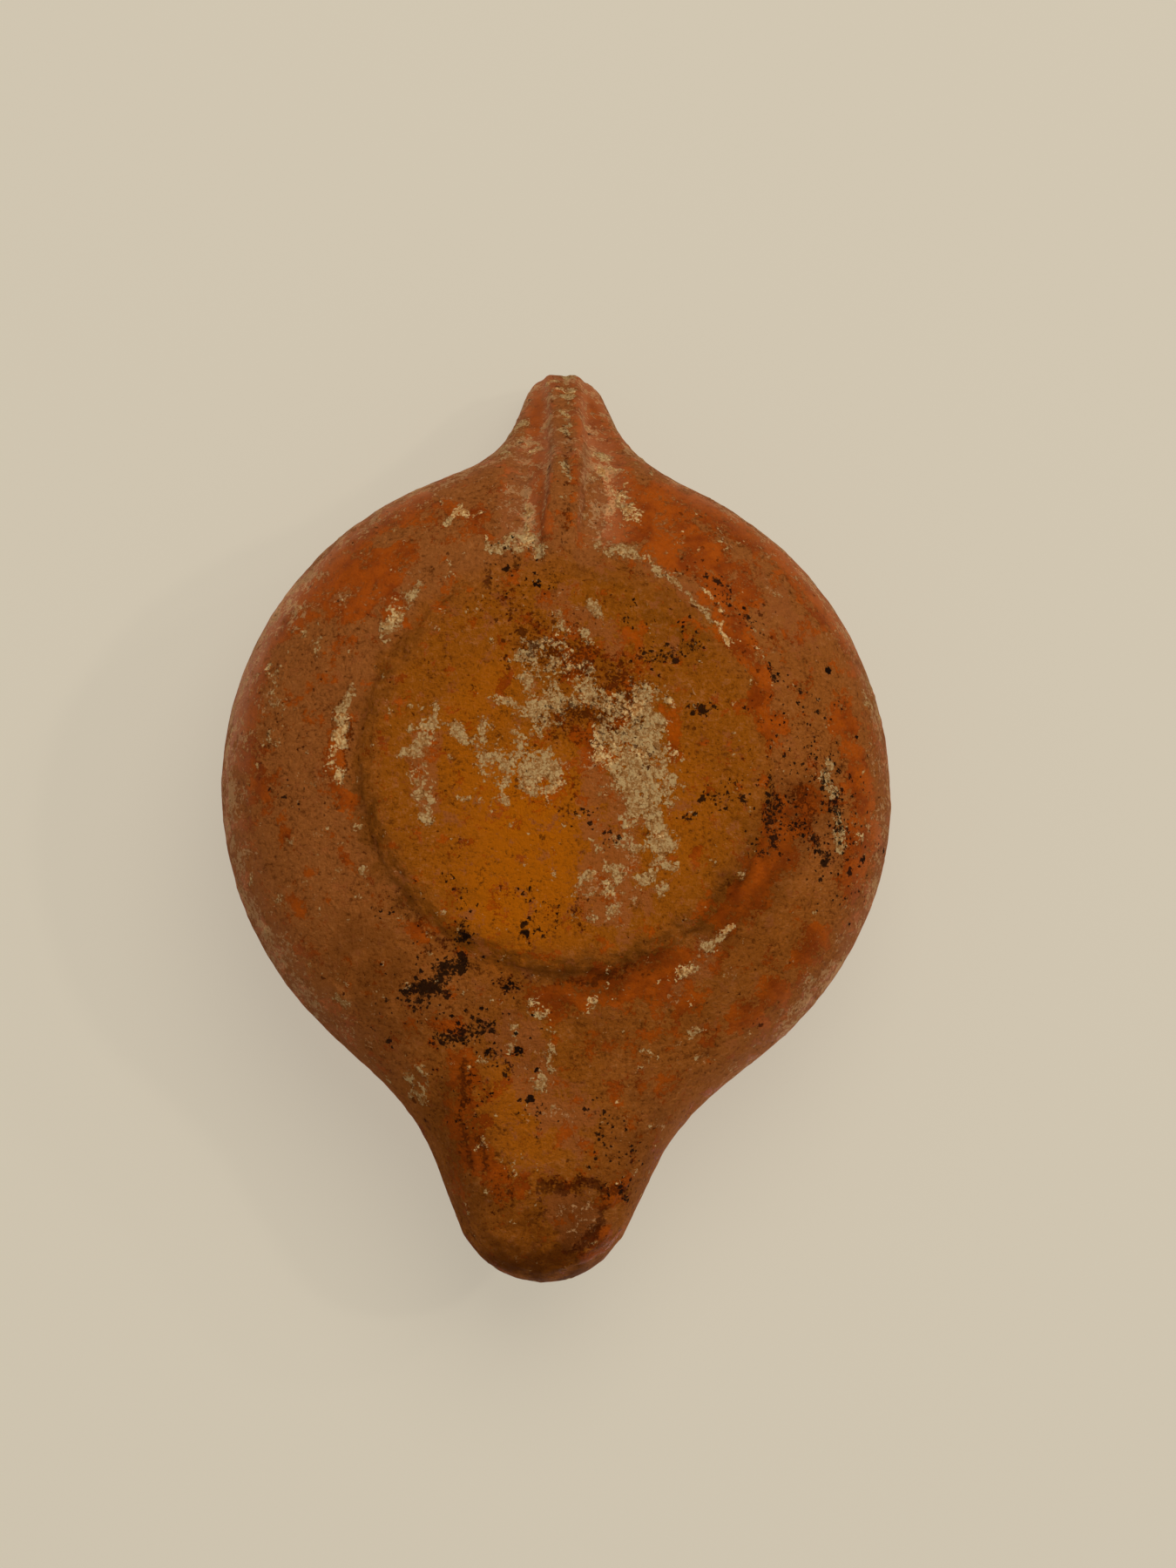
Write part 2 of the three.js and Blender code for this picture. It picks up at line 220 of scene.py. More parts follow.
# Each finish's strokes, as width, weight and path.
S = Stroke
STROKES: dict[Finish, tuple[Stroke, ...]] = {
    Finish.CRUST: (
        S(0.9, 1, ((21.8, 16), (20.2, 18), (18.3, 20.6))),
        S(0.75, 1, ((25.8, 8.6), (26.7, 6), (26.8, 3), (27, 0), (26.6, -2.8))),
        S(0.9, 1, ((15.8, 4.2), (18, 3.6), (17, 2.2), (17.2, 0.9), (18.8, 0.8))),
        S(1.2, 0.80, ((17.5, -1.5), (16.5, -4), (17.2, -6.8))), S(0.5, 0.9, ((16, 7), (15.8, 6))),
        S(0.8, 1, ((14.5, 4), (13, 3.8), (12.3, 2.6), (11, 1.8), (10.3, 1))),
        S(0.8, 0.9, ((10.3, 5.6), (9.2, 4.6), (10, 3), (9.8, 1.5), (10.3, -1.2))),
        S(2.3, 1, ((7.6, 0.2), (5.2, 1), (3.4, 0), (4.6, -2.2), (7.4, -1.2))),
        S(1.2, 1, ((3.5, 1.5), (2.5, -1), (1.2, -1.4), (2.6, -3.8))),
        S(0.6, 0.9, ((12, -4.5), (10.5, -4.8))), S(0.8, 1, ((8.8, -4.8), (7.4, -3.9))),
        S(0.5, 0.9, ((8.9, -6), (8.6, -5.6))), S(0.75, 1, ((9, 7.4), (7, 6.8), (5.5, 6.3), (4, 5.5))),
        S(1.5, 0.88, ((6, 10.8), (4.8, 13.4), (2.6, 14))),
        S(1.6, 0.72, ((1.5, 12), (4.4, 10), (3.5, 8), (0.6, 9.5))),
        S(1.1, 1, ((4.5, 7), (2.5, 6), (1.5, 5.2))), S(0.5, 0.9, ((3.2, 4), (2.8, 3))),
        S(1.7, 0.70, ((-0.6, 12.6), (-2.6, 10.4), (0.5, 7.4))), S(1, 0.85, ((2.2, 17.6), (1.8, 16.8))),
        S(1, 0.95, ((-2.4, 19.2), (-3.2, 18.4))), S(0.7, 0.72, ((-1.5, 16), (-2, 14.5))),
        S(1.4, 1, ((-3, 8.6), (-4.4, 5.8), (-5.2, 7.8))), S(1.1, 1, ((-4.2, 4.6), (-4.4, 2.6), (-4.8, 1))),
        S(2.6, 1.25, ((-6.6, 1.4), (-7.8, -1.6), (-9.4, -4.4), (-10.4, -2), (-10, 1))),
        S(1.8, 1.2, ((-8.2, 8.2), (-9.4, 5), (-9, 2.8), (-6.8, 1.8))), S(0.9, 0.85, ((-9, 9.5), (-8.3, 8))),
        S(0.8, 0.78, ((-11, 9.6), (-12, 8))), S(1.6, 1.2, ((-10, -5.2), (-11, -6.4), (-11.4, -8.6))),
        S(0.9, 0.9, ((-7.5, -9.3), (-9.2, -9.6))), S(1.2, 1.05, ((-10.8, -9.6), (-11.4, -11.4))),
        S(1.1, 0.92, ((-9, -13.2), (-10.6, -12.4), (-11, -13.8))),
        S(0.6, 0.8, ((-13, -11.6), (-13.3, -12.6))), S(0.6, 0.85, ((-3.4, -8.4), (-4, -9.8))),
        S(0.8, 0.86, ((-3.2, -13), (-1.6, -14.6), (-3.4, -15.2))),
        S(0.5, 0.8, ((-4.2, -17), (-3.6, -18.2))), S(2.6, 0.5, ((-5, -7), (-6.5, -12), (-5.5, -17))),
        S(0.45, 1, ((-10, 24), (-13, 22), (-15.5, 20), (-17.5, 18), (-19, 15.6))),
        S(0.35, 0.9, ((-16.5, 22), (-17.6, 20.4))), S(0.7, 0.8, ((-14, -24.5), (-17, -21.5), (-20, -18))),
        S(0.6, 1.1, ((0, 55), (0.1, 50))), S(0.5, 1, ((0.35, 48.6), (0.5, 43))),
        S(0.5, 0.9, ((0.75, 38.8), (0.9, 35))), S(1.1, 0.78, ((6.4, 46), (5.6, 43.4), (5.2, 41))),
        S(0.6, 0.75, ((7.6, 42), (8.2, 40))), S(0.5, 0.72, ((1.8, 52.5), (1.4, 50.5))),
        S(1.3, 0.86, ((-3.1, 37.6), (-3.8, 34.2), (-3.4, 31.6))),
        S(1, 0.8, ((-4.6, 34.4), (-6, 33.4), (-7.4, 32))), S(0.9, 0.8, ((-2, 30.6), (-3.2, 28.6))),
        S(0.6, 0.8, ((-5.8, 35.6), (-6.4, 32))), S(0.6, 0.76, ((-2.8, 42), (-4, 40), (-5.6, 38))),
        S(0.9, 1, ((-1.9, 27.2), (-3.6, 27.2), (-4.8, 26.4), (-6.4, 26))),
        S(0.7, 0.8, ((-7, 31), (-8.6, 32.6))),
        S(0.5, 0.85, ((-6.4, 26), (-9.2, 25.6), (-11, 24.6), (-12.6, 23.6))),
        S(0.5, 0.85, ((-12, 27.8), (-13.2, 28.2))),
        S(0.9, 1.1, ((8.8, 26.6), (7, 27.2), (5, 27), (4.4, 26.2))),
        S(0.7, 0.95, ((5.4, 28.6), (5.9, 31.2), (6.1, 33))), S(0.6, 0.78, ((9.2, 26), (6, 26))),
        S(0.6, 0.76, ((5.5, 31.4), (5.6, 28.2))), S(0.6, 0.78, ((15.2, 29.4), (13.6, 31.6), (11.6, 31))),
        S(0.5, 0.75, ((11, 28), (10, 26.4))), S(1.2, 0.74, ((16.6, -35.8), (15.4, -38.6))),
        S(0.9, 0.86, ((2.7, -28.2), (2.4, -28.7))), S(0.6, 0.74, ((4.8, -31), (5.4, -33.2))),
        S(0.7, 0.74, ((1, -32.8), (0.5, -36), (1.6, -37.6))), S(0.7, 0.8, ((-4.4, -27.6), (-3.4, -29.6))),
        S(0.6, 0.74, ((8, -34.4), (9.8, -35.6))), S(0.5, 0.86, ((-15.4, -30.6), (-18.2, -29.8))),
        S(1, 0.74, ((-31.4, 1.4), (-32.2, -3), (-32.9, -7.4))), S(1, 0.64, ((-38.2, 9.6), (-37, 13.6))),
        S(0.8, 0.66, ((35.4, 12), (34.6, 7), (34.2, 3))),
        S(0.7, 0.68, ((33.2, 20), (31.6, 16.6), (29.6, 13))), S(0.8, 0.62, ((25.6, -26.4), (25.2, -27.6))),
        S(0.9, 0.64, ((23.4, -13.4), (22.4, -14.6))),
    ),
    Finish.SLIP: (
        S(2.4, 1.15, ((33, 20.4), (28, 22), (23.4, 21.4), (25, 19.4))),
        S(1.5, 0.9, ((29, 19.4), (26, 18.2), (21, 18.4))),
        S(1.4, 0.9, ((19.6, 25.6), (23.4, 26), (27, 24.6))), S(1.2, 0.9, ((14.2, 31.6), (12, 30.8))),
        S(0.8, 0.85, ((11.6, 28.6), (10.8, 28))), S(1.1, 1, ((4, 39), (4.5, 33), (4.7, 28))),
        S(0.9, 0.9, ((-2.5, 45), (-2.5, 38))), S(1.4, 0.9, ((3.4, 53.4), (3.4, 47), (4.5, 42))),
        S(1.7, 0.92, ((-2.4, 53), (-3.2, 46), (-4.4, 42))),
        S(3, 1.1, ((-5.4, 36), (-7.8, 33.4), (-10, 30.4))),
        S(2.2, 0.95, ((-5, 30.4), (-8.6, 29.6), (-12.4, 27))),
        S(3, 1.15, ((-13.4, 28), (-16.4, 25.6), (-19.4, 22.6))),
        S(1.7, 0.92, ((-18, 21), (-20, 17), (-21.6, 14.6))),
        S(1.6, 1, ((-22.6, 12.6), (-22.9, 9), (-23.8, 6))), S(0.7, 0.95, ((-24.4, 4), (-23.9, 1.6))),
        S(1, 1, ((-7, 6.6), (-6.4, 5.2))), S(0.9, 0.9, ((-11.4, 8.2), (-12.5, 4), (-12.9, 2))),
        S(2.2, 1, ((-25.4, -4.4), (-26.6, -7.4), (-27.8, -4.2), (-29.2, -3.2))),
        S(1.6, 1.3, ((-24.8, -7), (-23.4, -12))),
        S(1.7, 1.25, ((-19.2, -17.4), (-21.8, -14.6), (-24.4, -11.4), (-26.4, -8.6))),
        S(1.7, 1.35, ((-1, -26.6), (-6, -26.4), (-10.4, -25), (-13.6, -23))),
        S(1.2, 1.1, ((2.6, -26.8), (0.6, -28), (0.6, -31))),
        S(1, 1, ((-0.7, 38), (-0.4, 33), (-0.6, 28.6))), S(1.2, 0.95, ((-2.2, 48), (-1.9, 42), (-1, 36))),
        S(1.2, 1, ((-9, -26.4), (-13, -27), (-15.4, -27.6))), S(1.1, 0.95, ((11.6, -31), (14.2, -30.4))),
        S(1.3, 1.2, ((10.4, -35.6), (10.8, -40), (9.4, -45.4))),
        S(1.2, 1.1, ((8.2, -46.4), (5.4, -48.6), (3.6, -49.4))),
        S(1.7, 0.8, ((39, 12), (37.6, 5), (36.8, -3))), S(1.6, 0.82, ((34.6, 19.2), (36.6, 13))),
        S(1.1, 0.92, ((31.6, -16.8), (31.2, -17.6))), S(0.7, 0.9, ((33.2, -6.8), (33, -8.4))),
        S(1, 0.8, ((29.8, -21), (28.6, -23))), S(1.7, 0.82, ((17, 32.6), (20, 31), (25, 28), (31, 23))),
        S(1.9, 0.86, ((-12, 35.4), (-15, 34), (-22, 30.4), (-29, 25), (-33.4, 19))),
        S(1.9, 0.84, ((-33, 10), (-35.6, 3), (-36.6, -5), (-35, -12))),
        S(1.6, 0.7, ((-31, -18), (-27, -24), (-22, -29))), S(1.4, 0.95, ((-3.6, 1.4), (-2.5, 3.2))),
        S(1, 0.95, ((-6.6, -50.8), (-8.4, -48.8))), S(1, 0.9, ((-5, -57), (-7, -54.4))),
        S(1.2, 0.9, ((5.4, -50.4), (7.2, -47.6), (8.2, -44.6))),
        S(3.2, 0.52, ((0, 14), (-3, 10), (-6.4, 12))), S(1, 0.8, ((26.4, 4.6), (27.6, 1.6), (26.2, -5))),
    ),
    Finish.SOOT: (
        S(1.3, 0.5, ((8.7, 23.9), (7.9, 23.4))), S(2.8, 0.3, ((6.4, 25), (4, 21.6))),
        S(1.1, 0.75, ((-13.6, 17), (-14.6, 15))), S(1.3, 0.8, ((-8.6, 13.4), (-11.4, 13.6), (-14.4, 14.6))),
        S(0.9, 0.85, ((-14.6, 7.4), (-16.8, 7.6))), S(0.8, 0.8, ((-18.8, -1.2), (-19.2, -1.2))),
        S(1.5, 0.66, ((-17, -3.2), (-20.4, -3.2))), S(0.9, 0.85, ((-13.8, -5.6), (-15, -5.4))),
        S(1, 0.7, ((-22.2, -7.6), (-23.2, -9.4))), S(0.9, 0.72, ((-21, 19), (-21.4, 18.4))),
        S(0.8, 0.85, ((-24, 13), (-24.4, 12.6))), S(1.2, 0.66, ((-17.4, 23.4), (-19, 22))),
        S(2, 0.62, ((-31, 1.6), (-32.4, -3), (-33.6, -7))), S(1.2, 0.86, ((-32, -3.4), (-32.8, -5.4))),
        S(1.2, 0.85, ((-24.4, -1), (-24.8, -8))), S(1, 0.85, ((-30.2, -7), (-31.4, -9.6))),
        S(1.4, 0.72, ((-27, -5), (-28.4, -7))), S(4.6, 0.33, ((-27, 8), (-29, 0), (-33, -9))),
        S(1.2, 0.6, ((13, -14.6), (11.6, -16.8))), S(1, 0.7, ((11.8, -18.4), (10.6, -20.2))),
        S(1, 0.82, ((11.6, -19.6), (11.8, -21.6))), S(1.9, 1, ((16.6, -27.2), (14.4, -26.2))),
        S(1.1, 1, ((13.8, -24.8), (11.4, -23.8))), S(1.5, 0.9, ((13, -32.6), (9.8, -31.8), (8, -31))),
        S(1, 0.74, ((7, -34), (5.6, -35.4))), S(0.9, 0.76, ((6.8, -25.6), (5.2, -26.4))),
        S(5, 0.3, ((15, -27), (8, -33))), S(1.5, 0.55, ((-5.4, -40), (-8.2, -41.4))),
        S(1.5, 0.6, ((-6, -43.8), (-9.4, -44.8))), S(0.8, 0.6, ((1.6, -40.4), (1.2, -41))),
        S(1.8, 0.42, ((3.4, -16.4), (1.2, -18.4))), S(1.4, 0.42, ((5.4, -18.6), (3.2, -19.4))),
        S(1, 0.45, ((-1.8, -5.6), (-2.2, -6.2))), S(0.8, 0.6, ((-5, -8.6), (-5.2, -9))),
        S(1.4, 0.5, ((3, -40.4), (2, -41.6))), S(1.4, 0.4, ((8.6, -37.6), (10.2, -41))),
        S(1.4, 0.5, ((33.4, -4.4), (31.4, -4.8))), S(1.6, 0.4, ((18, -16), (20.8, -17.4))),
        S(1.4, 0.45, ((-6.6, 18.4), (-8.6, 16.4))), S(1.3, 0.66, ((-7, -49.5), (-8.8, -48.8))),
    ),
    Finish.MOTTLE: (
        S(3.6, 0.92, ((4, 14.4), (-2, 12), (-6, 10), (-4, 5), (0, 5.6))), S(2.6, 0.55, ((3, 20), (0, 17))),
        S(2.6, 0.6, ((9, 18.8), (5.6, 18), (6.6, 13.6))), S(2.2, 0.6, ((-7, 7), (-8.4, 3))),
        S(2, 0.9, ((-28, -1), (-29, -6))), S(3, 0.6, ((-29, 5), (-32, 1), (-33, -8))),
        S(1.6, 0.7, ((12, -20), (14.6, -22))), S(0.9, 0.95, ((9.6, -36.4), (10.4, -41))),
        S(2.4, 0.5, ((5, -15), (1, -17.4))), S(1, 0.9, ((6.8, -25.4), (5.2, -26.6))),
        S(2.4, 0.5, ((14, -31), (8, -33))), S(2.4, 0.5, ((-22, 20), (-24, 13))),
        S(2.6, 0.4, ((-12, 24), (-18, 20))), S(3, 0.45, ((6.4, 24.6), (3.4, 20.4))),
        S(1, 0.8, ((0, -49), (-4, -48.4), (-8.4, -49.4))), S(1.3, 0.8, ((-4.2, -56), (-5.8, -53.6))),
        S(2, 0.6, ((4.6, -51), (6.6, -47.6))), S(0.9, 0.9, ((-1.6, -16.4), (-1.7, -19))),
        S(0.7, 0.7, ((-0.4, -4.8), (-0.6, -6.4))),
    ),
    Finish.PINK: (
        S(3.3, 0.95, ((-4.9, -5), (-5.2, -9), (-5, -15))), S(1.6, 0.9, ((-2.8, 0.4), (-3, -4))),
        S(1.5, 0.8, ((16.6, 2.4), (17, -1.4), (16.4, -5.6))), S(2.2, 0.55, ((-9, -15), (-6, -18.6))),
        S(2, 0.6, ((2.6, 20), (-4.4, 15))), S(1.8, 0.9, ((7.6, 27.6), (6.6, 31), (7, 34.4))),
        S(1.6, 0.8, ((-2.8, 28.6), (-3.4, 33), (-3.2, 38))),
        S(3, 0.66, ((5, -31.6), (1.6, -37), (-2, -41.6))), S(1.6, 0.6, ((-13, -27), (-18, -21))),
        S(1.2, 0.6, ((-10.4, 24.6), (-16, 19.6))), S(2.7, 1.1, ((-2.2, -51.6), (-4, -53.6))),
        S(3.4, 0.45, ((33, 20), (23, 21))), S(2.6, 0.45, ((-27, 18), (-22, 24))),
    ),
    # Painted shade at the foot's root, under the flake, at the nozzle's edges and along the groove; and dark
    # stain lines on the foot and by the ridge's root.
    Finish.CREVICE_SHADE_AND_STAIN: (
        S(0.75, 1.15, ((1.2, -48.8), (-1, -49.2), (-3, -48.4), (-5.6, -49), (-8.8, -49.4))),
        S(0.4, 0.8, ((1.2, -50.4), (0.6, -53.2))),
        S(0.8, 1.1, ((-3.4, -56.4), (-5.4, -54.6), (-6.4, -51.6))),
        S(0.5, 0.9, ((10.4, -34.8), (11, -38.8), (10.4, -42.6), (9.2, -46.6))),
        S(0.4, 0.8, ((8.4, -43.4), (7.4, -47.6))), S(0.4, 0.8, ((4.4, -47.2), (4, -51.6))),
        S(0.35, 0.8, ((-0.6, -2), (-0.9, -6.6))), S(0.4, 0.7, ((-1.6, -15.8), (-1.9, -19.4))),
        S(0.45, 0.9, ((7.5, 26), (7.4, 23.6))), S(0.45, 0.85, ((2.5, 24.8), (2.4, 21.8))),
        S(0.4, 0.6, ((-9.6, -36), (-10.4, -41), (-9.6, -46.4))),
        S(0.4, 0.8, ((25.9, 4), (26, 0.4), (25.6, -3))), S(0.4, 0.8, ((20.2, -15.6), (16.4, -19.6))),
        S(0.36, 0.8, ((16.4, -20), (13.4, -22.2), (9.8, -24.2), (5, -25.4), (0, -25.7), (-5, -25.2),
                      (-9.8, -23.8))),
        S(0.45, 0.95, ((10.4, 24.2), (10.3, 21.4))), S(0.4, 0.9, ((9.8, 21), (7, 20.9))),
        S(0.4, 0.9, ((1.2, 26.6), (1, 33), (0.7, 40), (0.4, 46))),
    ),
    Finish.OCHRE: (
        S(23, 1, ((0, 0), (0, 0.5)), 0.07), S(25.2, 0.7, ((0, 0), (0, 0.5)), 0.04),
        S(10, 0.85, ((2, -34), (1, -46), (0, -58)), 0.9), S(5, 0.6, ((12, -34), (11, -46)), 0.9),
        S(9, 0.55, ((-25, -18), (-12, -28), (2, -30)), 0.9), S(7, 0.35, ((20, -24), (12, -32)), 0.9),
        S(8, 0.30, ((-30, 2), (-28, 12)), 0.9),
    ),
    Finish.BRIGHT: (
        S(7.6, 1, ((5, -5.4), (3.4, -11.6), (6, -15.6))), S(3.4, 0.7, ((12, -1), (8.6, -4))),
        S(3.6, 0.6, ((9, 9), (12, 3))), S(4, 0.55, ((6.4, -39), (3, -43))),
        S(3.6, 0.45, ((-13, -1), (-14, -6), (-12, -10))),
    ),
    # The band on one side of the foot's wall is painted shade with a greenish-brown tint; the other strokes
    # are greenish-brown patches.
    Finish.OLIVE_AND_SHADE: (
        S(1.4, 0.35, ((23.6, 9), (24.6, 3), (24.6, -3)), 0.8),
        S(2, 0.8, ((24.2, -4), (22.8, -9), (20, -13.8)), 0.8),
        S(1.9, 0.8, ((20.4, -14), (16.4, -18.4), (9.8, -22.6), (3, -24.2), (-5, -24)), 0.8),
        S(1.6, 0.8, ((-5, -23.6), (-12, -21), (-17, -17), (-20.6, -12.6)), 0.35),
        S(1.6, 0.6, ((13.6, -15.4), (11.4, -16.6))), S(1.4, 0.5, ((-22.4, -7.6), (-20.8, -6))),
        S(1.6, 0.45, ((19, 14.6), (21.6, 10.6), (23.4, 6)), 0.8), S(2.4, 0.6, ((-10, 19.4), (-15, 15))),
        S(2, 0.5, ((-2, 24), (-8, 20))),
    ),
    # Painted shade towards the nozzle's end and along the foot's lower root, partly the clay's dark brown.
    Finish.SMOKE: (
        S(3.4, 0.5, ((-19, -18), (-24, -11.6), (-26.4, -6), (-28.6, -3.6))),
        S(2, 0.45, ((0.4, -25.4), (-6, -25.6), (-13, -22.6))), S(7.5, 0.85, ((0, -58), (0, -60))),
        S(3, 0.5, ((-3, -52), (-5, -50))), S(3.4, 0.45, ((12, -38), (8.4, -50))),
        S(3, 0.35, ((-12, -38), (-9, -48))), S(4, 0.35, ((24, -22), (18, -30))),
        S(6, 0.24, ((-26, -20), (-12, -29), (6, -29))),
    ),
}


def value_noise(points: Array, size: float, octaves: int, seed: float) -> Array:
    """Give smooth noise at each point.

    Args:
        points: Points in mm, one row each.
        size: The size of its features in mm.
        octaves: How many finer layers are summed.
        seed: Moves the pattern, so that two calls differ.

    Returns:
        One value a point, about -1 to 1.
    """
    shift = Vector((seed, seed * 1.7, -seed))
    rows = (points / size).tolist()
    return np.array([noise.fractal(Vector(row) + shift, 1.0, 2.0, octaves) for row in rows])


def cell_noise(points: Array, size: float, seed: float) -> Array:
    """Give the distance to the nearest cell centre at each point.

    Args:
        points: Points in mm, one row each.
        size: The size of a cell in mm.
        seed: Moves the pattern.

    Returns:
        One distance a point, in cells.
    """
    shift = Vector((seed, -seed, seed * 0.6))
    rows = (points / size).tolist()
    return np.array([noise.voronoi(Vector(row) + shift)[0][0] for row in rows])


def add_object(name: str, data: bpy.types.ID) -> Piece:
    """Put a new object into the scene.

    Args:
        name: Its name.
        data: Its mesh, light or camera.

    Returns:
        The object.
    """
    made = bpy.data.objects.new(name, data)
    bpy.context.scene.collection.objects.link(made)
    return made


@dataclass
class Surface:
    """The skin's points, in mm from the foot's centre, and its normals, one row each."""

    points: Array
    normals: Array

    @classmethod
    def of(cls, piece: Piece) -> "Surface":
        """Read a piece's points and normals.

        Args:
            piece: The piece, with its mesh in mm.

        Returns:
            Its surface.
        """
        flat = np.zeros(len(piece.data.vertices) * 3, np.float32)
        piece.data.vertices.foreach_get("co", flat)
        points = flat.reshape(-1, 3).astype(float)
        points[:, 1] -= FOOT_CENTRE_Y
        piece.data.vertex_normals.foreach_get("vector", flat)
        return cls(points, flat.reshape(-1, 3).astype(float))

    @property
    def across(self) -> Array:
        """Return how far each point lies along X."""
        return self.points[:, 0]

    @property
    def along(self) -> Array:
        """Return how far each point lies along Y, towards the handle."""
        return self.points[:, 1]

    @property
    def height(self) -> Array:
        """Return how high each point lies over the floor."""
        return self.points[:, 2]

    @property
    def radius(self) -> Array:
        """Return how far each point lies from the foot's centre in plan."""
        return np.hypot(self.across, self.along)

    @property
    def facing(self) -> Array:
        """Return how far each normal points up, from -1 to 1."""
        return self.normals[:, 2]

    def noise(self, size: float, octaves: int, seed: float) -> Array:
        """Return smooth noise at the points, with features of that size in mm."""
        return value_noise(self.points, size, octaves, seed)

    def waves_along(self, seed: float) -> Array:
        """Return noise that changes only along the lamp."""
        return value_noise(self.points * (0, 1, 0), 3.0, 2, seed)


@dataclass(frozen=True)
class Neighbours:
    """The ends of every edge of a mesh, and how many edges meet at each point."""

    one: Array
    two: Array
    degree: Array

    @classmethod
    def of(cls, mesh: bpy.types.Mesh) -> "Neighbours":
        """Read a mesh's edges.

        Args:
            mesh: The mesh.

        Returns:
            Its neighbours.
        """
        count = len(mesh.vertices)
        pairs = np.zeros(len(mesh.edges) * 2, np.int32)
        mesh.edges.foreach_get("vertices", pairs)
        one, two = pairs.reshape(-1, 2).T
        degree = np.bincount(one, minlength=count) + np.bincount(two, minlength=count)
        return cls(one, two, np.maximum(degree, 1))

    def spread(self, values: Array, rounds: int = 1) -> Array:
        """Even values out over the mesh.

        Args:
            values: One value a point.
            rounds: How often each point takes its neighbours' mean.

        Returns:
            The values, evened out.
        """
        count = len(self.degree)
        for _ in range(rounds):
            total = np.bincount(self.one, weights=values[self.two], minlength=count)
            total += np.bincount(self.two, weights=values[self.one], minlength=count)
            values = total / self.degree
        return values


@dataclass(frozen=True)
class Ridge:
    """The ridge from the handle down to the foot, with a thin groove along it. Sizes are in mm.

    Attributes:
        root_side: How far its root lies to the side.
        straightening: How much of that is gone at the handle.
        reach: How far to each side the clay moves with it.
        half_width: Half the width of its flat top.
        proud: How far the flat top stands out.
        gutter: How far the clay beside it is sunk.
        groove_side: How far the groove's foot end lies to the side.
        groove_depth: How deep the groove is.
        groove_width: How wide it is.
    """

    root_side: float = 1.8
    straightening: float = 1.35
    reach: float = 5.5
    half_width: float = 1.95
    proud: float = 0.26
    gutter: float = 0.10
    groove_side: float = 1.25
    groove_depth: float = 0.40
    groove_width: float = 0.5

    def centre(self, skin: Surface) -> Array:
        """Return where the middle of the ridge is across the lamp, for each point."""
        return self.root_side - self.straightening * smooth_between(27, 44, skin.along)

    def lean(self, skin: Surface) -> None:
        """Move the ridge's root sideways, for it runs a little askew.

        Args:
            skin: The skin, which is changed.
        """
        share = smooth_between(19, 26, skin.along) * bell(skin.across, self.reach)
        share *= smooth_between(0.0, 0.4, -skin.facing)
        skin.points[:, 0] += (self.centre(skin) + 0.2 * skin.across) * share

    def groove(self, skin: Surface) -> Array:
        """Shape the thin groove along the ridge.

        Args:
            skin: The skin.

        Returns:
            Its depth at each point.
        """
        line = self.groove_side - 1.05 * smooth_between(27, 50, skin.along) + 0.12 * np.sin(skin.along * 0.7)
        share = smooth_between(24.5, 30, skin.along) * (skin.facing < 0.1)
        broken = smooth_between(-0.35, 0.15, skin.waves_along(5.0))
        depth = self.groove_depth * share * (0.45 + 0.55 * broken)
        return depth * bell(skin.across - line, self.groove_width)

    def edges(self, skin: Surface) -> Array:
        """Shape the ridge's flat top and its softened flanks.

        Args:
            skin: The skin.

        Returns:
            How far the clay stands out at each point.
        """
        wave = 0.16 * skin.waves_along(9.0)
        half = self.half_width + wave - 0.3 * smooth_between(44, 54, skin.along)
        away = np.abs(skin.across - self.centre(skin))
        top = 1 - smooth_between(half - 0.3, half + 0.3, away)
        beside = bell(away - half - 0.6, 0.45)
        length = smooth_between(22.8, 24.6, skin.along) * (1 - smooth_between(52.0, 54.5, skin.along))
        return (self.proud * top - self.gutter * beside) * length * (skin.facing < 0.1)


@dataclass(frozen=True)
class FootRing:
    """The worn and chipped edge of the ring foot. Sizes are in mm.

    Attributes:
        start: The radius at which its outer slope starts.
        root: The radius of the crease round it.
        crease: How deep the crease is.
        slope: How much is worn off the outer slope.
        rough: How deep the chips are.
        fine: How deep the fine wear is.
        top: The height up to which it is worn.
    """

    start: float = 23.1
    root: float = 25.5
    crease: float = 0.26
    slope: float = 0.36
    rough: float = 0.5
    fine: float = 0.14
    top: float = 2.6

    def wear(self, skin: Surface) -> Array:
        """Wear the foot's edge, more so towards the nozzle and on one side.

        Args:
            skin: The skin.

        Returns:
            How much is worn off at each point.
        """
        radius = skin.radius
        low_part = skin.height < self.top
        near = smooth_between(21.6, 23.6, radius) * (1 - smooth_between(25.2, 26.6, radius)) * low_part
        rough = np.clip(skin.noise(2.6, 4, 21.0) + 0.1, 0, None)
        fine = np.clip(skin.noise(0.9, 2, 25.0), -0.2, None)
        wave = 0.35 * skin.noise(3.2, 3, 27.0)
        side = 0.60 + 0.40 * (0.75 * skin.across - 0.65 * skin.along) / np.maximum(radius, 1)
        start = self.start - 0.6 * smooth_between(8, 22, -skin.along) - wave
        wall = smooth_between(-0.7, 2.0, radius - start) * (1 - smooth_between(24.9, 25.6, radius))
        wall *= low_part & (skin.facing < 0)
        crease = self.crease * bell(radius - self.root - 0.3 * wave, 0.5) * (skin.height < 3.2) * side
        return crease + near * (self.rough * rough + self.fine * fine) + self.slope * side * wall


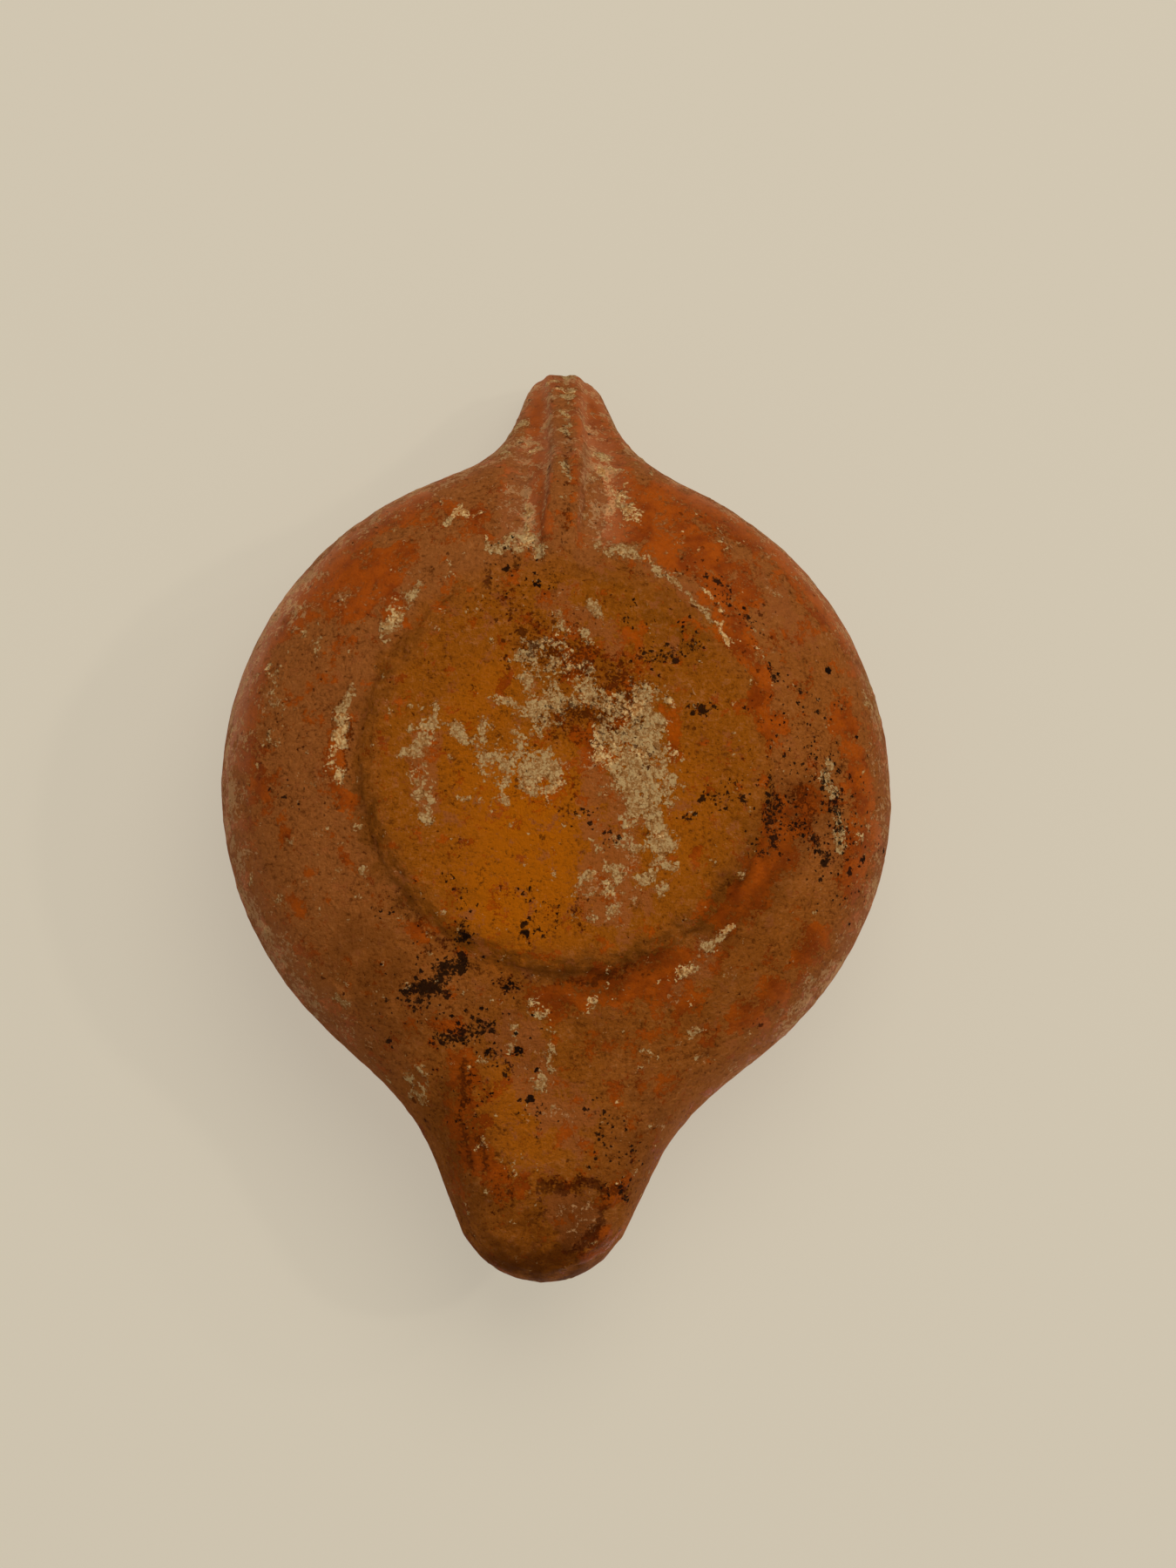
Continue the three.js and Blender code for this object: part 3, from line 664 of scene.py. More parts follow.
@dataclass(frozen=True)
class NozzleFlake:
    """The flake of slip that stands off the nozzle's underside. Sizes are in mm.

    Attributes:
        upper: Where along the lamp it starts.
        lower: Where along the lamp it ends.
        left: Its straight side.
        right: Its slanted side, at the level of the wick hole.
        proud: How far it stands off.
    """

    upper: float = -48.9
    lower: float = -55.6
    left: float = 0.9
    right: float = -7.6
    proud: float = 0.42

    def height(self, skin: Surface) -> Array:
        """Shape the flake.

        Args:
            skin: The skin.

        Returns:
            How far the clay stands off at each point.
        """
        wave = 0.7 * skin.noise(2.4, 3, 31.0)
        across = skin.across - wave
        along = skin.along - wave
        slant = self.right - 0.5 * (skin.along + 50)
        share = (along < self.upper) * smooth_between(self.lower - 0.6, self.lower + 0.8, along)
        share = share * smooth_between(-0.4, 0.4, across - slant)
        share = share * (1 - smooth_between(self.left - 0.7, self.left + 0.7, across))
        return self.proud * share * (skin.facing < -0.1)


@dataclass(frozen=True)
class Relief:
    """How far the clay's unevenness goes in and out, in mm."""

    swell: float = 0.16
    lumps: float = 0.09
    grain: float = 0.08
    crust: float = 0.12
    crust_grain: float = 0.16
    slip: float = 0.05
    pits: float = 0.05
    mottle_pits: float = 0.16
    chips: float = 0.25
    handle_swell: float = 0.6
    foot_worn: float = 0.22
    rim_chips: float = 0.35

    def clay(self, skin: Surface, traces: dict[Enum, Array]) -> Array:
        """Shape the clay's swells, grain, crust, slip, pits and chips.

        Args:
            skin: The skin.
            traces: The finishes and traces at each point.

        Returns:
            How far the clay stands out at each point.
        """
        grain = skin.noise(1.2, 2, 4.0)
        crust = smooth_between(0.42, 0.72, traces[Finish.CRUST] + 0.25 * grain)
        pits = 1 - smooth_between(0.18, 0.42, cell_noise(skin.points, 1.5, 8.0))
        mottle = np.clip(traces[Finish.MOTTLE], 0, 1)
        move = self.swell * skin.noise(11.0, 2, 1.0)
        move += self.lumps * skin.noise(3.6, 3, 2.0)
        move += self.grain * grain
        move += crust * (self.crust + self.crust_grain * grain)
        move += self.slip * smooth_between(0.46, 0.60, traces[Finish.SLIP])
        move -= pits * (self.pits + self.mottle_pits * mottle)
        move -= self.chips * smooth_between(0.62, 0.86, skin.noise(5.5, 4, 13.0))
        return move + self.handle_swell * smooth_between(46, 53, skin.along) * np.abs(skin.normals[:, 0])

    def worn(self, skin: Surface, traces: dict[Enum, Array]) -> Array:
        """Wear the foot where it stands, and chip the rims of the top.

        Args:
            skin: The skin.
            traces: The finishes and traces at each point.

        Returns:
            How much is worn off at each point.
        """
        chipped = traces[Trace.EDGE] * np.clip(skin.noise(2.2, 3, 17.0), 0, 1) * traces[Trace.UPPER]
        return self.foot_worn * (1 - smooth_between(0.2, 1.2, skin.height)) + self.rim_chips * chipped


@dataclass
class ClaySkin:
    """The lamp's fired clay as one closed skin, finer than the CAD solid that it stands for.

    Attributes:
        voxel: The size of the skin's mesh, in mm.
        rounds: How many passes soften the CAD solid's facets.
        most_triangles: The skin's triangle count after the chamber's wall is thinned out.
        probe: How far off the surface the look around starts, in mm.
        look: How far the look around reaches, in mm.
        rim_height: The height in mm over which no point counts fully as the chamber's.
    """

    voxel: float = 0.50
    rounds: int = 7
    most_triangles: int = 195000
    probe: float = 0.05
    look: float = 90.0
    rim_height: float = 25.5
    ridge: Ridge = Ridge()
    foot: FootRing = FootRing()
    flake: NozzleFlake = NozzleFlake()
    relief: Relief = Relief()
    traces: dict[Enum, Array] = field(default_factory=dict)

    def build(self) -> Piece:
        """Make the skin, shape its surface and write its finishes.

        Returns:
            The lamp's piece, in place.
        """
        piece = add_object(PIECE_NAME, self.merged_copy())
        self.remesh(piece)
        self.thin_the_chamber(piece)
        skin = Surface.of(piece)
        self.ridge.lean(skin)
        self.trace_shape(piece, skin)
        self.trace_haze(skin)
        self.trace_soot(skin)
        self.lay_finishes(skin)
        self.raise_relief(piece, skin)
        self.write_attributes(piece)
        LOG.info("%s: %d faces", piece.name, len(piece.data.polygons))
        return piece

    def merged_copy(self) -> bpy.types.Mesh:
        """Copy the CAD solid's mesh in mm, with its corners joined.

        Returns:
            The new mesh.
        """
        made = bmesh.new()
        made.from_mesh(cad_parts[CAD_NODE].data)
        bmesh.ops.scale(made, vec=(1 / MM,) * 3, verts=made.verts)
        bmesh.ops.remove_doubles(made, verts=made.verts, dist=0.002)
        mesh = bpy.data.meshes.new(PIECE_NAME)
        made.to_mesh(mesh)
        made.free()
        return mesh

    def bake_modifiers(self, piece: Piece) -> None:
        """Turn the piece's modifiers into its mesh and drop them.

        Args:
            piece: The lamp's piece.
        """
        graph = bpy.context.evaluated_depsgraph_get()
        mesh = bpy.data.meshes.new_from_object(piece.evaluated_get(graph))
        mesh.name = PIECE_NAME
        piece.modifiers.clear()
        piece.data = mesh

    def remesh(self, piece: Piece) -> None:
        """Give the piece an even fine mesh and soften its facets.

        Args:
            piece: The lamp's piece.
        """
        remesh = piece.modifiers.new("even_mesh", "REMESH")
        remesh.mode = "VOXEL"
        remesh.voxel_size = self.voxel
        smooth = piece.modifiers.new("soften", "SMOOTH")
        smooth.factor = 0.5
        smooth.iterations = self.rounds
        self.bake_modifiers(piece)

    def enclosed(self, piece: Piece, skin: Surface) -> Array:
        """Say which points lie on the chamber's wall.

        Args:
            piece: The lamp's piece.
            skin: Its surface.

        Returns:
            The share of looks around each point that meet clay, 0 to 1.
        """
        tree = BVHTree.FromObject(piece, bpy.context.evaluated_depsgraph_get())
        leans = ((0, 0), (0.8, 0), (-0.8, 0), (0, 0.8), (0, -0.8))
        share = np.zeros(len(skin.points))
        places = skin.points + (0, FOOT_CENTRE_Y, 0)
        for index, (place, normal) in enumerate(zip(places.tolist(), skin.normals.tolist())):
            out = Vector(normal)
            side = out.orthogonal().normalized()
            other = out.cross(side)
            start = Vector(place) + out * self.probe
            looks = ((out + side * u + other * v).normalized() for u, v in leans)
            hits = sum(tree.ray_cast(start, look, self.look)[0] is not None for look in looks)
            share[index] = hits / len(leans)
        return share

    def thin_the_chamber(self, piece: Piece) -> None:
        """Take most of the faces out of the chamber's wall, where nothing fine shows.

        Args:
            piece: The lamp's piece.
        """
        skin = Surface.of(piece)
        inside = self.enclosed(piece, skin) > 0.7
        group = piece.vertex_groups.new(name="chamber")
        chosen = np.nonzero(inside & (skin.height < 25))[0]
        group.add(chosen.tolist(), 1.0, "REPLACE")
        triangles = sum(len(face.vertices) - 2 for face in piece.data.polygons)
        thin = piece.modifiers.new("thin_chamber", "DECIMATE")
        thin.ratio = min(1.0, self.most_triangles / triangles)
        thin.vertex_group = group.name
        self.bake_modifiers(piece)
        LOG.info("skin: %d triangles before thinning, %d points in the chamber", triangles, len(chosen))

    def trace_shape(self, piece: Piece, skin: Surface) -> None:
        """Work out the chamber's wall, the upper side, the convex edges and the hollows.

        Args:
            piece: The lamp's piece.
            skin: Its surface.
        """
        near = Neighbours.of(piece.data)
        around = np.stack([near.spread(skin.points[:, axis]) for axis in range(3)], 1)
        bend = near.spread(((skin.points - around) * skin.normals).sum(1), 6)
        inside = self.enclosed(piece, skin)
        inside = near.spread(np.where(skin.height < self.rim_height, inside, inside * 0.4), 2)
        self.traces[Trace.INSIDE] = smooth_between(0.55, 0.85, inside)
        self.traces[Trace.EDGE] = smooth_between(0.004, 0.030, bend)
        self.traces[Trace.HOLLOW] = smooth_between(0.003, 0.022, -bend)
        self.traces[Trace.UPPER] = smooth_between(-0.25, 0.35, skin.facing)

    def trace_haze(self, skin: Surface) -> None:
        """Work out the pale haze beside the ridge, and the paler steep sides of the body, which are partly
        haze and partly painted sheen.

        Args:
            skin: The skin.
        """
        lean = np.degrees(np.arccos(np.clip(-skin.facing, -1, 1)))
        body = smooth_between(24, 36, skin.radius) * smooth_between(-38, -26, skin.along)
        steep = smooth_between(38, 74, lean) * (1 - 0.5 * smooth_between(74, 92, lean))
        upward = smooth_between(-0.1, 0.35, skin.facing)
        flank = bell(np.abs(skin.across - 1) - 5, 2.2)
        flank *= smooth_between(25.5, 29, skin.along) * smooth_between(52, 40, skin.along)
        # Steep sides come out paler as painted sheen, partly haze; the flank beside the ridge is pale haze.
        self.traces[Trace.HAZE_AND_SHEEN] = np.maximum(steep * body, 0.62 * flank) * (1 - 0.85 * upward)

    def trace_soot(self, skin: Surface) -> None:
        """Work out the burnt clay round the wick hole.

        Args:
            skin: The skin.
        """
        wick = np.hypot(skin.across, skin.along - WICK_Y)
        burnt = 1 - smooth_between(4.0, 10.5, wick + 1.4 * skin.noise(3.0, 4, 51.0))
        self.traces[Trace.BURNT] = burnt * self.traces[Trace.UPPER]

    def lay_finishes(self, skin: Surface) -> None:
        """Lay each finish's strokes on the underside, broken up by the clay's own unevenness.

        Args:
            skin: The skin.
        """
        outside = 1 - self.traces[Trace.INSIDE]
        upper = self.traces[Trace.UPPER]
        below = (1 - smooth_between(0.25, 0.6, skin.facing)) * outside
        wander = np.stack([skin.noise(2.4, 3, seed) for seed in (3.0, 11.0)], 1)
        plan = skin.points[:, :2] + 0.9 * wander
        for index, (finish, strokes) in enumerate(STROKES.items()):
            wear = WEAR[finish]
            cover = below * np.max([stroke.cover(plan, wear.softness) for stroke in strokes], axis=0)
            if finish is Finish.SLIP:
                cover = np.maximum(cover, 0.66 * upper * outside)
                # More slip on the paler steep sides, so that their painted sheen shows on it.
                cover += 0.24 * self.traces[Trace.HAZE_AND_SHEEN] * (1 - upper) - 0.6 * self.traces[Trace.EDGE] * upper
            if wear.unevenness:
                cover += wear.base + wear.unevenness * skin.noise(wear.size, 4, 40.0 + 7 * index)
            self.traces[finish] = cover

    def raise_relief(self, piece: Piece, skin: Surface) -> None:
        """Move the piece's points by the clay's unevenness, its crusts, pits and chips.

        Args:
            piece: The lamp's piece, which is moved and brought to metres.
            skin: Its surface.
        """
        move = self.relief.clay(skin, self.traces)
        move += self.ridge.edges(skin) - self.ridge.groove(skin)
        move += self.flake.height(skin) - self.foot.wear(skin)
        level = np.abs(skin.facing) + (skin.height < 4)
        move *= 0.4 + 0.6 * smooth_between(0.1, 0.5, level)
        move -= self.relief.worn(skin, self.traces)
        move *= 1 - 0.65 * self.traces[Trace.INSIDE]
        moved = skin.points + skin.normals * move[:, None]
        moved[:, 1] += FOOT_CENTRE_Y
        low, high = (np.array(corner) / MM for corner in CAD_BOX)
        moved = np.clip(moved, low, high)
        piece.data.vertices.foreach_set("co", (moved * MM).astype(np.float32).ravel())
        piece.data.update()

    def write_attributes(self, piece: Piece) -> None:
        """Store each finish and trace on the mesh, and shade it smooth.

        Args:
            piece: The lamp's piece.
        """
        mesh = piece.data
        for mark, values in self.traces.items():
            made = mesh.attributes.new(mark.value, "FLOAT", "POINT")
            made.data.foreach_set("value", values.astype(np.float32))
        mesh.shade_smooth()
        inside = self.traces[Trace.INSIDE]
        for face in mesh.polygons:
            face.material_index = int(inside[face.vertices[0]] > 0.5)


class Bench:
    """A short way to lay shader nodes in one tree.

    Attributes:
        tree: The tree that the nodes go into.
    """

    def __init__(self, tree: Tree) -> None:
        """Keep the tree."""
        self.tree = tree

    def feed(self, socket: Socket, value: Feed) -> None:
        """Link a socket to another, or set its value.

        Args:
            socket: The socket to feed.
            value: The other socket, or the value.
        """
        if isinstance(value, bpy.types.NodeSocket):
            self.tree.links.new(value, socket)
        elif socket.type == "RGBA":
            socket.default_value = (*value, 1.0)
        else:
            socket.default_value = value

    def place(self) -> Socket:
        """Return the piece's own coordinates, in metres."""
        return self.tree.nodes.new("ShaderNodeTexCoord").outputs["Object"]

    def stretched(self, scale: Colour, turn: float) -> Socket:
        """Stretch and turn the coordinates.

        Args:
            scale: The scale along each axis.
            turn: The turn about the vertical, in degrees.

        Returns:
            The new coordinates.
        """
        node = self.tree.nodes.new("ShaderNodeMapping")
        self.feed(node.inputs["Vector"], self.place())
        node.inputs["Rotation"].default_value = (0, 0, math.radians(turn))
        node.inputs["Scale"].default_value = scale
        return node.outputs["Vector"]

    def stored(self, mark: Finish | Trace) -> Socket:
        """Return a finish or a trace that the mesh stores."""
        node = self.tree.nodes.new("ShaderNodeAttribute")
        node.attribute_name = mark.value
        return node.outputs["Fac"]

    def maths(self, kind: str, *values: Feed, clamp: bool = False) -> Socket:
        """Work out a value.

        Args:
            kind: The kind of Math node.
            values: What it reads.
            clamp: Whether the result is kept within 0 and 1.

        Returns:
            The result.
        """
        node = self.tree.nodes.new("ShaderNodeMath")
        node.operation = kind
        node.use_clamp = clamp
        for socket, value in zip(node.inputs, values):
            self.feed(socket, value)
        return node.outputs[0]

    def times(self, one: Feed, two: Feed) -> Socket:
        """Return one value times another."""
        return self.maths("MULTIPLY", one, two)

    def mixed_in(self, value: Feed, share: Feed, base: Feed, clamp: bool = False) -> Socket:
        """Return the base with that share of the value added."""
        return self.maths("MULTIPLY_ADD", value, share, base, clamp=clamp)

    def step(self, value: Feed, low: Feed, high: Feed, start: float = 0.0, end: float = 1.0) -> Socket:
        """Map a value smoothly.

        Args:
            value: The value.
            low: What gives start.
            high: What gives end.
            start: The result at low.
            end: The result at high.

        Returns:
            The result.
        """
        node = self.tree.nodes.new("ShaderNodeMapRange")
        node.interpolation_type = "SMOOTHSTEP"
        given = {"Value": value, "From Min": low, "From Max": high, "To Min": start, "To Max": end}
        for name, feed in given.items():
            self.feed(node.inputs[name], feed)
        return node.outputs["Result"]

    def blend(self, share: Feed, first: Feed, second: Feed) -> Socket:
        """Mix two colours.

        Args:
            share: The share of the second.
            first: The first colour.
            second: The second colour.

        Returns:
            The mixed colour.
        """
        node = self.tree.nodes.new("ShaderNodeMix")
        node.data_type = "RGBA"
        self.feed(node.inputs["Factor"], share)
        self.feed(node.inputs[6], first)
        self.feed(node.inputs[7], second)
        return node.outputs[2]

    def cloud(self, size: float, detail: float, rough: float = 0.55, vector: Socket | None = None) -> Socket:
        """Lay noise.

        Args:
            size: The size of its features in mm.
            detail: How many finer layers it has.
            rough: How strong they are.
            vector: The coordinates, where they aren't the piece's own.

        Returns:
            The noise, 0 to 1.
        """
        node = self.tree.nodes.new("ShaderNodeTexNoise")
        self.feed(node.inputs["Vector"], vector or self.place())
        node.inputs["Scale"].default_value = 1 / (size * MM)
        node.inputs["Detail"].default_value = detail
        node.inputs["Roughness"].default_value = rough
        return node.outputs["Fac"]

    def signed(self, size: float, detail: float, rough: float = 0.55, vector: Socket | None = None) -> Socket:
        """Return the same noise as cloud, spread to both sides of 0."""
        return self.times(self.maths("SUBTRACT", self.cloud(size, detail, rough, vector), 0.5), 4.0)

    def cells(self, size: float, vector: Socket) -> tuple[Socket, Socket, Socket]:
        """Part the surface into cells.

        Args:
            size: The size of a cell in mm.
            vector: The coordinates.

        Returns:
            The distance to the nearest cell centre, and two chance values of the cell.
        """
        node = self.tree.nodes.new("ShaderNodeTexVoronoi")
        self.feed(node.inputs["Vector"], vector)
        node.inputs["Scale"].default_value = 1 / (size * MM)
        parts = self.tree.nodes.new("ShaderNodeSeparateColor")
        self.feed(parts.inputs[0], node.outputs["Color"])
        return node.outputs["Distance"], parts.outputs[0], parts.outputs[1]

    def warped(self, size: float, reach: float) -> Socket:
        """Push the coordinates about.

        Args:
            size: The size of the pushes' features in mm.
            reach: Twice how far they push, in mm.

        Returns:
            The new coordinates.
        """
        wobble = self.tree.nodes.new("ShaderNodeTexNoise")
        self.feed(wobble.inputs["Vector"], self.place())
        wobble.inputs["Scale"].default_value = 1 / (size * MM)
        warp = self.tree.nodes.new("ShaderNodeVectorMath")
        warp.operation = "MULTIPLY_ADD"
        self.feed(warp.inputs[0], wobble.outputs["Color"])
        warp.inputs[1].default_value = (reach * MM,) * 3
        self.feed(warp.inputs[2], self.place())
        return warp.outputs[0]

    def group(self, made: Tree, **given: Feed) -> Node:
        """Lay a node group.

        Args:
            made: The group.
            given: What each of its inputs is fed, by its name in small letters.

        Returns:
            The group's node.
        """
        node = self.tree.nodes.new("ShaderNodeGroup")
        node.node_tree = made
        for name, value in given.items():
            self.feed(node.inputs[name.capitalize()], value)
        return node

    def bump(self, shader: Node, height: Feed, strength: float, distance: float) -> None:
        """Feed a shader's normal from a height.

        Args:
            shader: The shader.
            height: The height.
            strength: How strongly it shows.
            distance: How far a height of 1 goes, in mm.
        """
        node = self.tree.nodes.new("ShaderNodeBump")
        node.inputs["Strength"].default_value = strength
        node.inputs["Distance"].default_value = distance * MM
        self.feed(node.inputs["Height"], height)
        self.feed(shader.inputs["Normal"], node.outputs["Normal"])


def new_material(name: str) -> tuple[Material, Bench, Node]:
    """Start a material.

    Args:
        name: Its name.

    Returns:
        The material, a bench on its tree, and its shader.
    """
    material = bpy.data.materials.new(name)
    material.use_nodes = True
    return material, Bench(material.node_tree), material.node_tree.nodes["Principled BSDF"]


def new_group(name: str, inputs: dict[str, float], outputs: tuple[str, ...]) -> tuple[Bench, Node, Node]:
    """Start a shader node group.

    Args:
        name: The group's name.
        inputs: Each input's name and first value.
        outputs: Each output's name.

    Returns:
        A bench on its tree, its input node and its output node.
    """
    tree = bpy.data.node_groups.new(name, "ShaderNodeTree")
    for label, value in inputs.items():
        socket = tree.interface.new_socket(label, in_out="INPUT", socket_type="NodeSocketFloat")
        socket.default_value = value
    for label in outputs:
        tree.interface.new_socket(label, in_out="OUTPUT", socket_type="NodeSocketFloat")
    return Bench(tree), tree.nodes.new("NodeGroupInput"), tree.nodes.new("NodeGroupOutput")


@dataclass
class Effects:
    """The effects that the lamp's finishes share, each a node group."""

    ragged: Tree | None = None
    specks: Tree | None = None
    crust: Tree | None = None
    grain: Tree | None = None
    flecks: Tree | None = None

    def build(self) -> None:
        """Make every group."""
        self.ragged = self.make_ragged()
        self.specks = self.make_specks()
        self.crust = self.make_crust()
        self.grain = self.make_grain()
        self.flecks = self.make_flecks()

    def make_ragged(self) -> Tree:
        """Make the group that turns a soft amount into a patch with a torn edge.

        Returns:
            The group.
        """
        inputs = {"Amount": 0.5, "Coarse": 0.2, "Fine": 0.3, "Level": 0.5, "Sharpness": 0.06}
        bench, given, made = new_group("ragged_patch", inputs, ("Mask",))
        level, sharpness = given.outputs["Level"], given.outputs["Sharpness"]
        total = bench.mixed_in(bench.signed(1.5, 4, 0.62), given.outputs["Coarse"], given.outputs["Amount"])
        total = bench.mixed_in(bench.signed(0.42, 4, 0.74), given.outputs["Fine"], total)
        low = bench.maths("SUBTRACT", level, sharpness)
        high = bench.maths("ADD", level, sharpness)
        bench.feed(made.inputs["Mask"], bench.step(total, low, high))
        return bench.tree

    def make_specks(self) -> Tree:
        """Make the group of small dark dots of mixed sizes, as dense as the amount says.

        Returns:
            The group.
        """
        bench, given, made = new_group("dark_specks", {"Amount": 0.5, "Size": 1.0}, ("Mask",))
        amount = given.outputs["Amount"]
        total: Feed = 0.0
        torn = bench.signed(0.22, 2, 0.6)
        for size, share in ((0.5, 0.8), (0.85, 0.66), (1.7, 0.34)):
            distance, chance, spare = bench.cells(size, bench.warped(0.38 * size, 0.9 * size))
            chosen = bench.maths("LESS_THAN", chance, bench.times(amount, share))
            radius = bench.times(bench.mixed_in(spare, 0.22, 0.10), given.outputs["Size"])
            radius = bench.mixed_in(amount, 0.14, radius)
            radius = bench.mixed_in(torn, 0.10, radius)
            rim = bench.maths("ADD", radius, 0.10)
            dot = bench.times(chosen, bench.step(distance, radius, rim, 1.0, 0.0))
            total = bench.maths("MAXIMUM", total, dot)
        bench.feed(made.inputs["Mask"], total)
        return bench.tree

    def make_crust(self) -> Tree:
        """Make the group of lime crust: small grains with torn outlines, each with its own tone, paler on its
        dome and darker at its edge as painted shading.

        Returns:
            The group.
        """
        inputs = {"Amount": 0.5, "Level": 0.6}
        bench, given, made = new_group("lime_crust", inputs, ("Mask", "Tone", "Height"))
        moved = bench.warped(0.45, 0.7)
        _, coarse, _ = bench.cells(0.66, moved)
        near, fine, tint = bench.cells(0.31, moved)
        total = bench.mixed_in(bench.signed(1.6, 3, 0.6), 0.16, given.outputs["Amount"])
        total = bench.mixed_in(coarse, 0.36, total)
        total = bench.mixed_in(fine, 0.62, total)
        total = bench.mixed_in(bench.signed(0.25, 2, 0.6), 0.12, total)
        level = bench.maths("ADD", given.outputs["Level"], 0.49)
        mask = bench.step(total, bench.maths("SUBTRACT", level, 0.05), bench.maths("ADD", level, 0.05))
        bulge = bench.mixed_in(near, -1.25, 0.8)
        tone = bench.mixed_in(tint, 0.55, bench.times(bulge, 0.45))
        bench.feed(made.inputs["Mask"], mask)
        bench.feed(made.inputs["Tone"], bench.mixed_in(bench.signed(0.9, 3, 0.6), 0.16, tone))
        bench.feed(made.inputs["Height"], bench.times(mask, bench.maths("ADD", bulge, 0.7)))
        return bench.tree

    def make_grain(self) -> Tree:
        """Make the group of the sandy clay's tone, height and short cracks, with its wiping's drag marks. The
        tone follows the height, so the grain is darker in its hollows and paler on its bumps: painted
        shading, besides its random tone.

        Returns:
            The group.
        """
        inputs = {"Sand": 1.0, "Drag": 1.0}
        bench, given, made = new_group("clay_grain", inputs, ("Tone", "Height", "Cracks"))
        sand = bench.times(bench.signed(0.50, 5, 0.74), given.outputs["Sand"])
        wiped = bench.stretched((0.75, 1.3, 1.0), 24.0)
        drag = bench.times(bench.signed(1.0, 5, 0.74, wiped), given.outputs["Drag"])
        body = bench.mixed_in(drag, 0.6, sand)
        tone = bench.mixed_in(bench.signed(6.0, 3, 0.6), 0.30, body)
        tone = bench.mixed_in(bench.signed(1.9, 3, 0.6), 0.12, tone)
        near, chance, _ = bench.cells(0.62, bench.warped(0.3, 0.4))
        bulge = bench.times(bench.step(near, 0.6, 0.0), chance)
        line = bench.maths("ABSOLUTE", bench.signed(1.2, 3, 0.7, bench.warped(0.5, 0.5)))
        where = bench.step(bench.signed(1.5, 3, 0.6), 0.12, 0.40)
        # The tone takes the grain's height: painted shading, darker in hollows and paler on bumps.
        bench.feed(made.inputs["Tone"], bench.mixed_in(bulge, 0.35, tone))
        bench.feed(made.inputs["Height"], bench.mixed_in(bulge, 0.9, body))
        bench.feed(made.inputs["Cracks"], bench.times(bench.step(line, 0.07, 0.02), where))
        return bench.tree

    def make_flecks(self) -> Tree:
        """Make the group of pale flecks, where the slip is rubbed through or lime has settled.

        Returns:
            The group.
        """
        bench, given, made = new_group("pale_flecks", {"Amount": 0.5}, ("Mask",))
        shape = bench.times(bench.signed(0.55, 4, 0.74), 1.15)
        shape = bench.mixed_in(bench.signed(3.4, 2), 0.55, shape)
        level = bench.mixed_in(given.outputs["Amount"], -1.1, 1.10)
        bench.feed(made.inputs["Mask"], bench.step(shape, level, bench.maths("ADD", level, 0.16)))
        return bench.tree


@dataclass(frozen=True)
class Edge:
    """How a patch's edge is torn: the strength of coarse and fine noise, and where and how sharp it is."""

    coarse: float
    fine: float
    level: float
    sharpness: float


@dataclass(frozen=True)
class Coat:
    """One coat of colour.

    Attributes:
        colour: Its colour.
        cover: How much of what lies under it is hidden, 0 to 1.
        rise: How far it stands out, in mm; under 0, it is sunk.
    """

    colour: Colour
    cover: float = 1.0
    rise: float = 0.0


@dataclass
class Layers:
    """The coats of one material as they are laid, one over another.

    Attributes:
        bench: Lays the nodes.
        effects: The shared node groups.
        colour: The colour so far.
        height: The height so far, in mm.
    """

    bench: Bench
    effects: Effects
    colour: Feed
    height: Feed = 0.0

    def patches(self, mark: Finish, edge: Edge) -> Socket:
        """Return where a finish's torn patches are."""
        amount = self.bench.stored(mark)
        return self.bench.group(self.effects.ragged, amount=amount, **asdict(edge)).outputs["Mask"]

    def specks(self, amount: Feed, size: float) -> Socket:
        """Return where dark dots are, as dense as the amount says."""
        return self.bench.group(self.effects.specks, amount=amount, size=size).outputs["Mask"]

    def flecks(self, amount: Feed) -> Socket:
        """Return where pale flecks are, as dense as the amount says."""
        return self.bench.group(self.effects.flecks, amount=amount).outputs["Mask"]

    def raise_by(self, share: Feed, rise: float) -> None:
        """Raise the surface by so many mm where share says."""
        self.height = self.bench.mixed_in(share, rise, self.height)

    def lay(self, share: Feed, coat: Coat, colour: Feed | None = None) -> None:
        """Lay a coat.

        Args:
            share: Where it lies.
            coat: The coat.
            colour: Its colour, where that changes over the surface.
        """
        shown = coat.colour if colour is None else colour
        self.colour = self.bench.blend(self.bench.times(share, coat.cover), self.colour, shown)
        if coat.rise:
            self.raise_by(share, coat.rise)


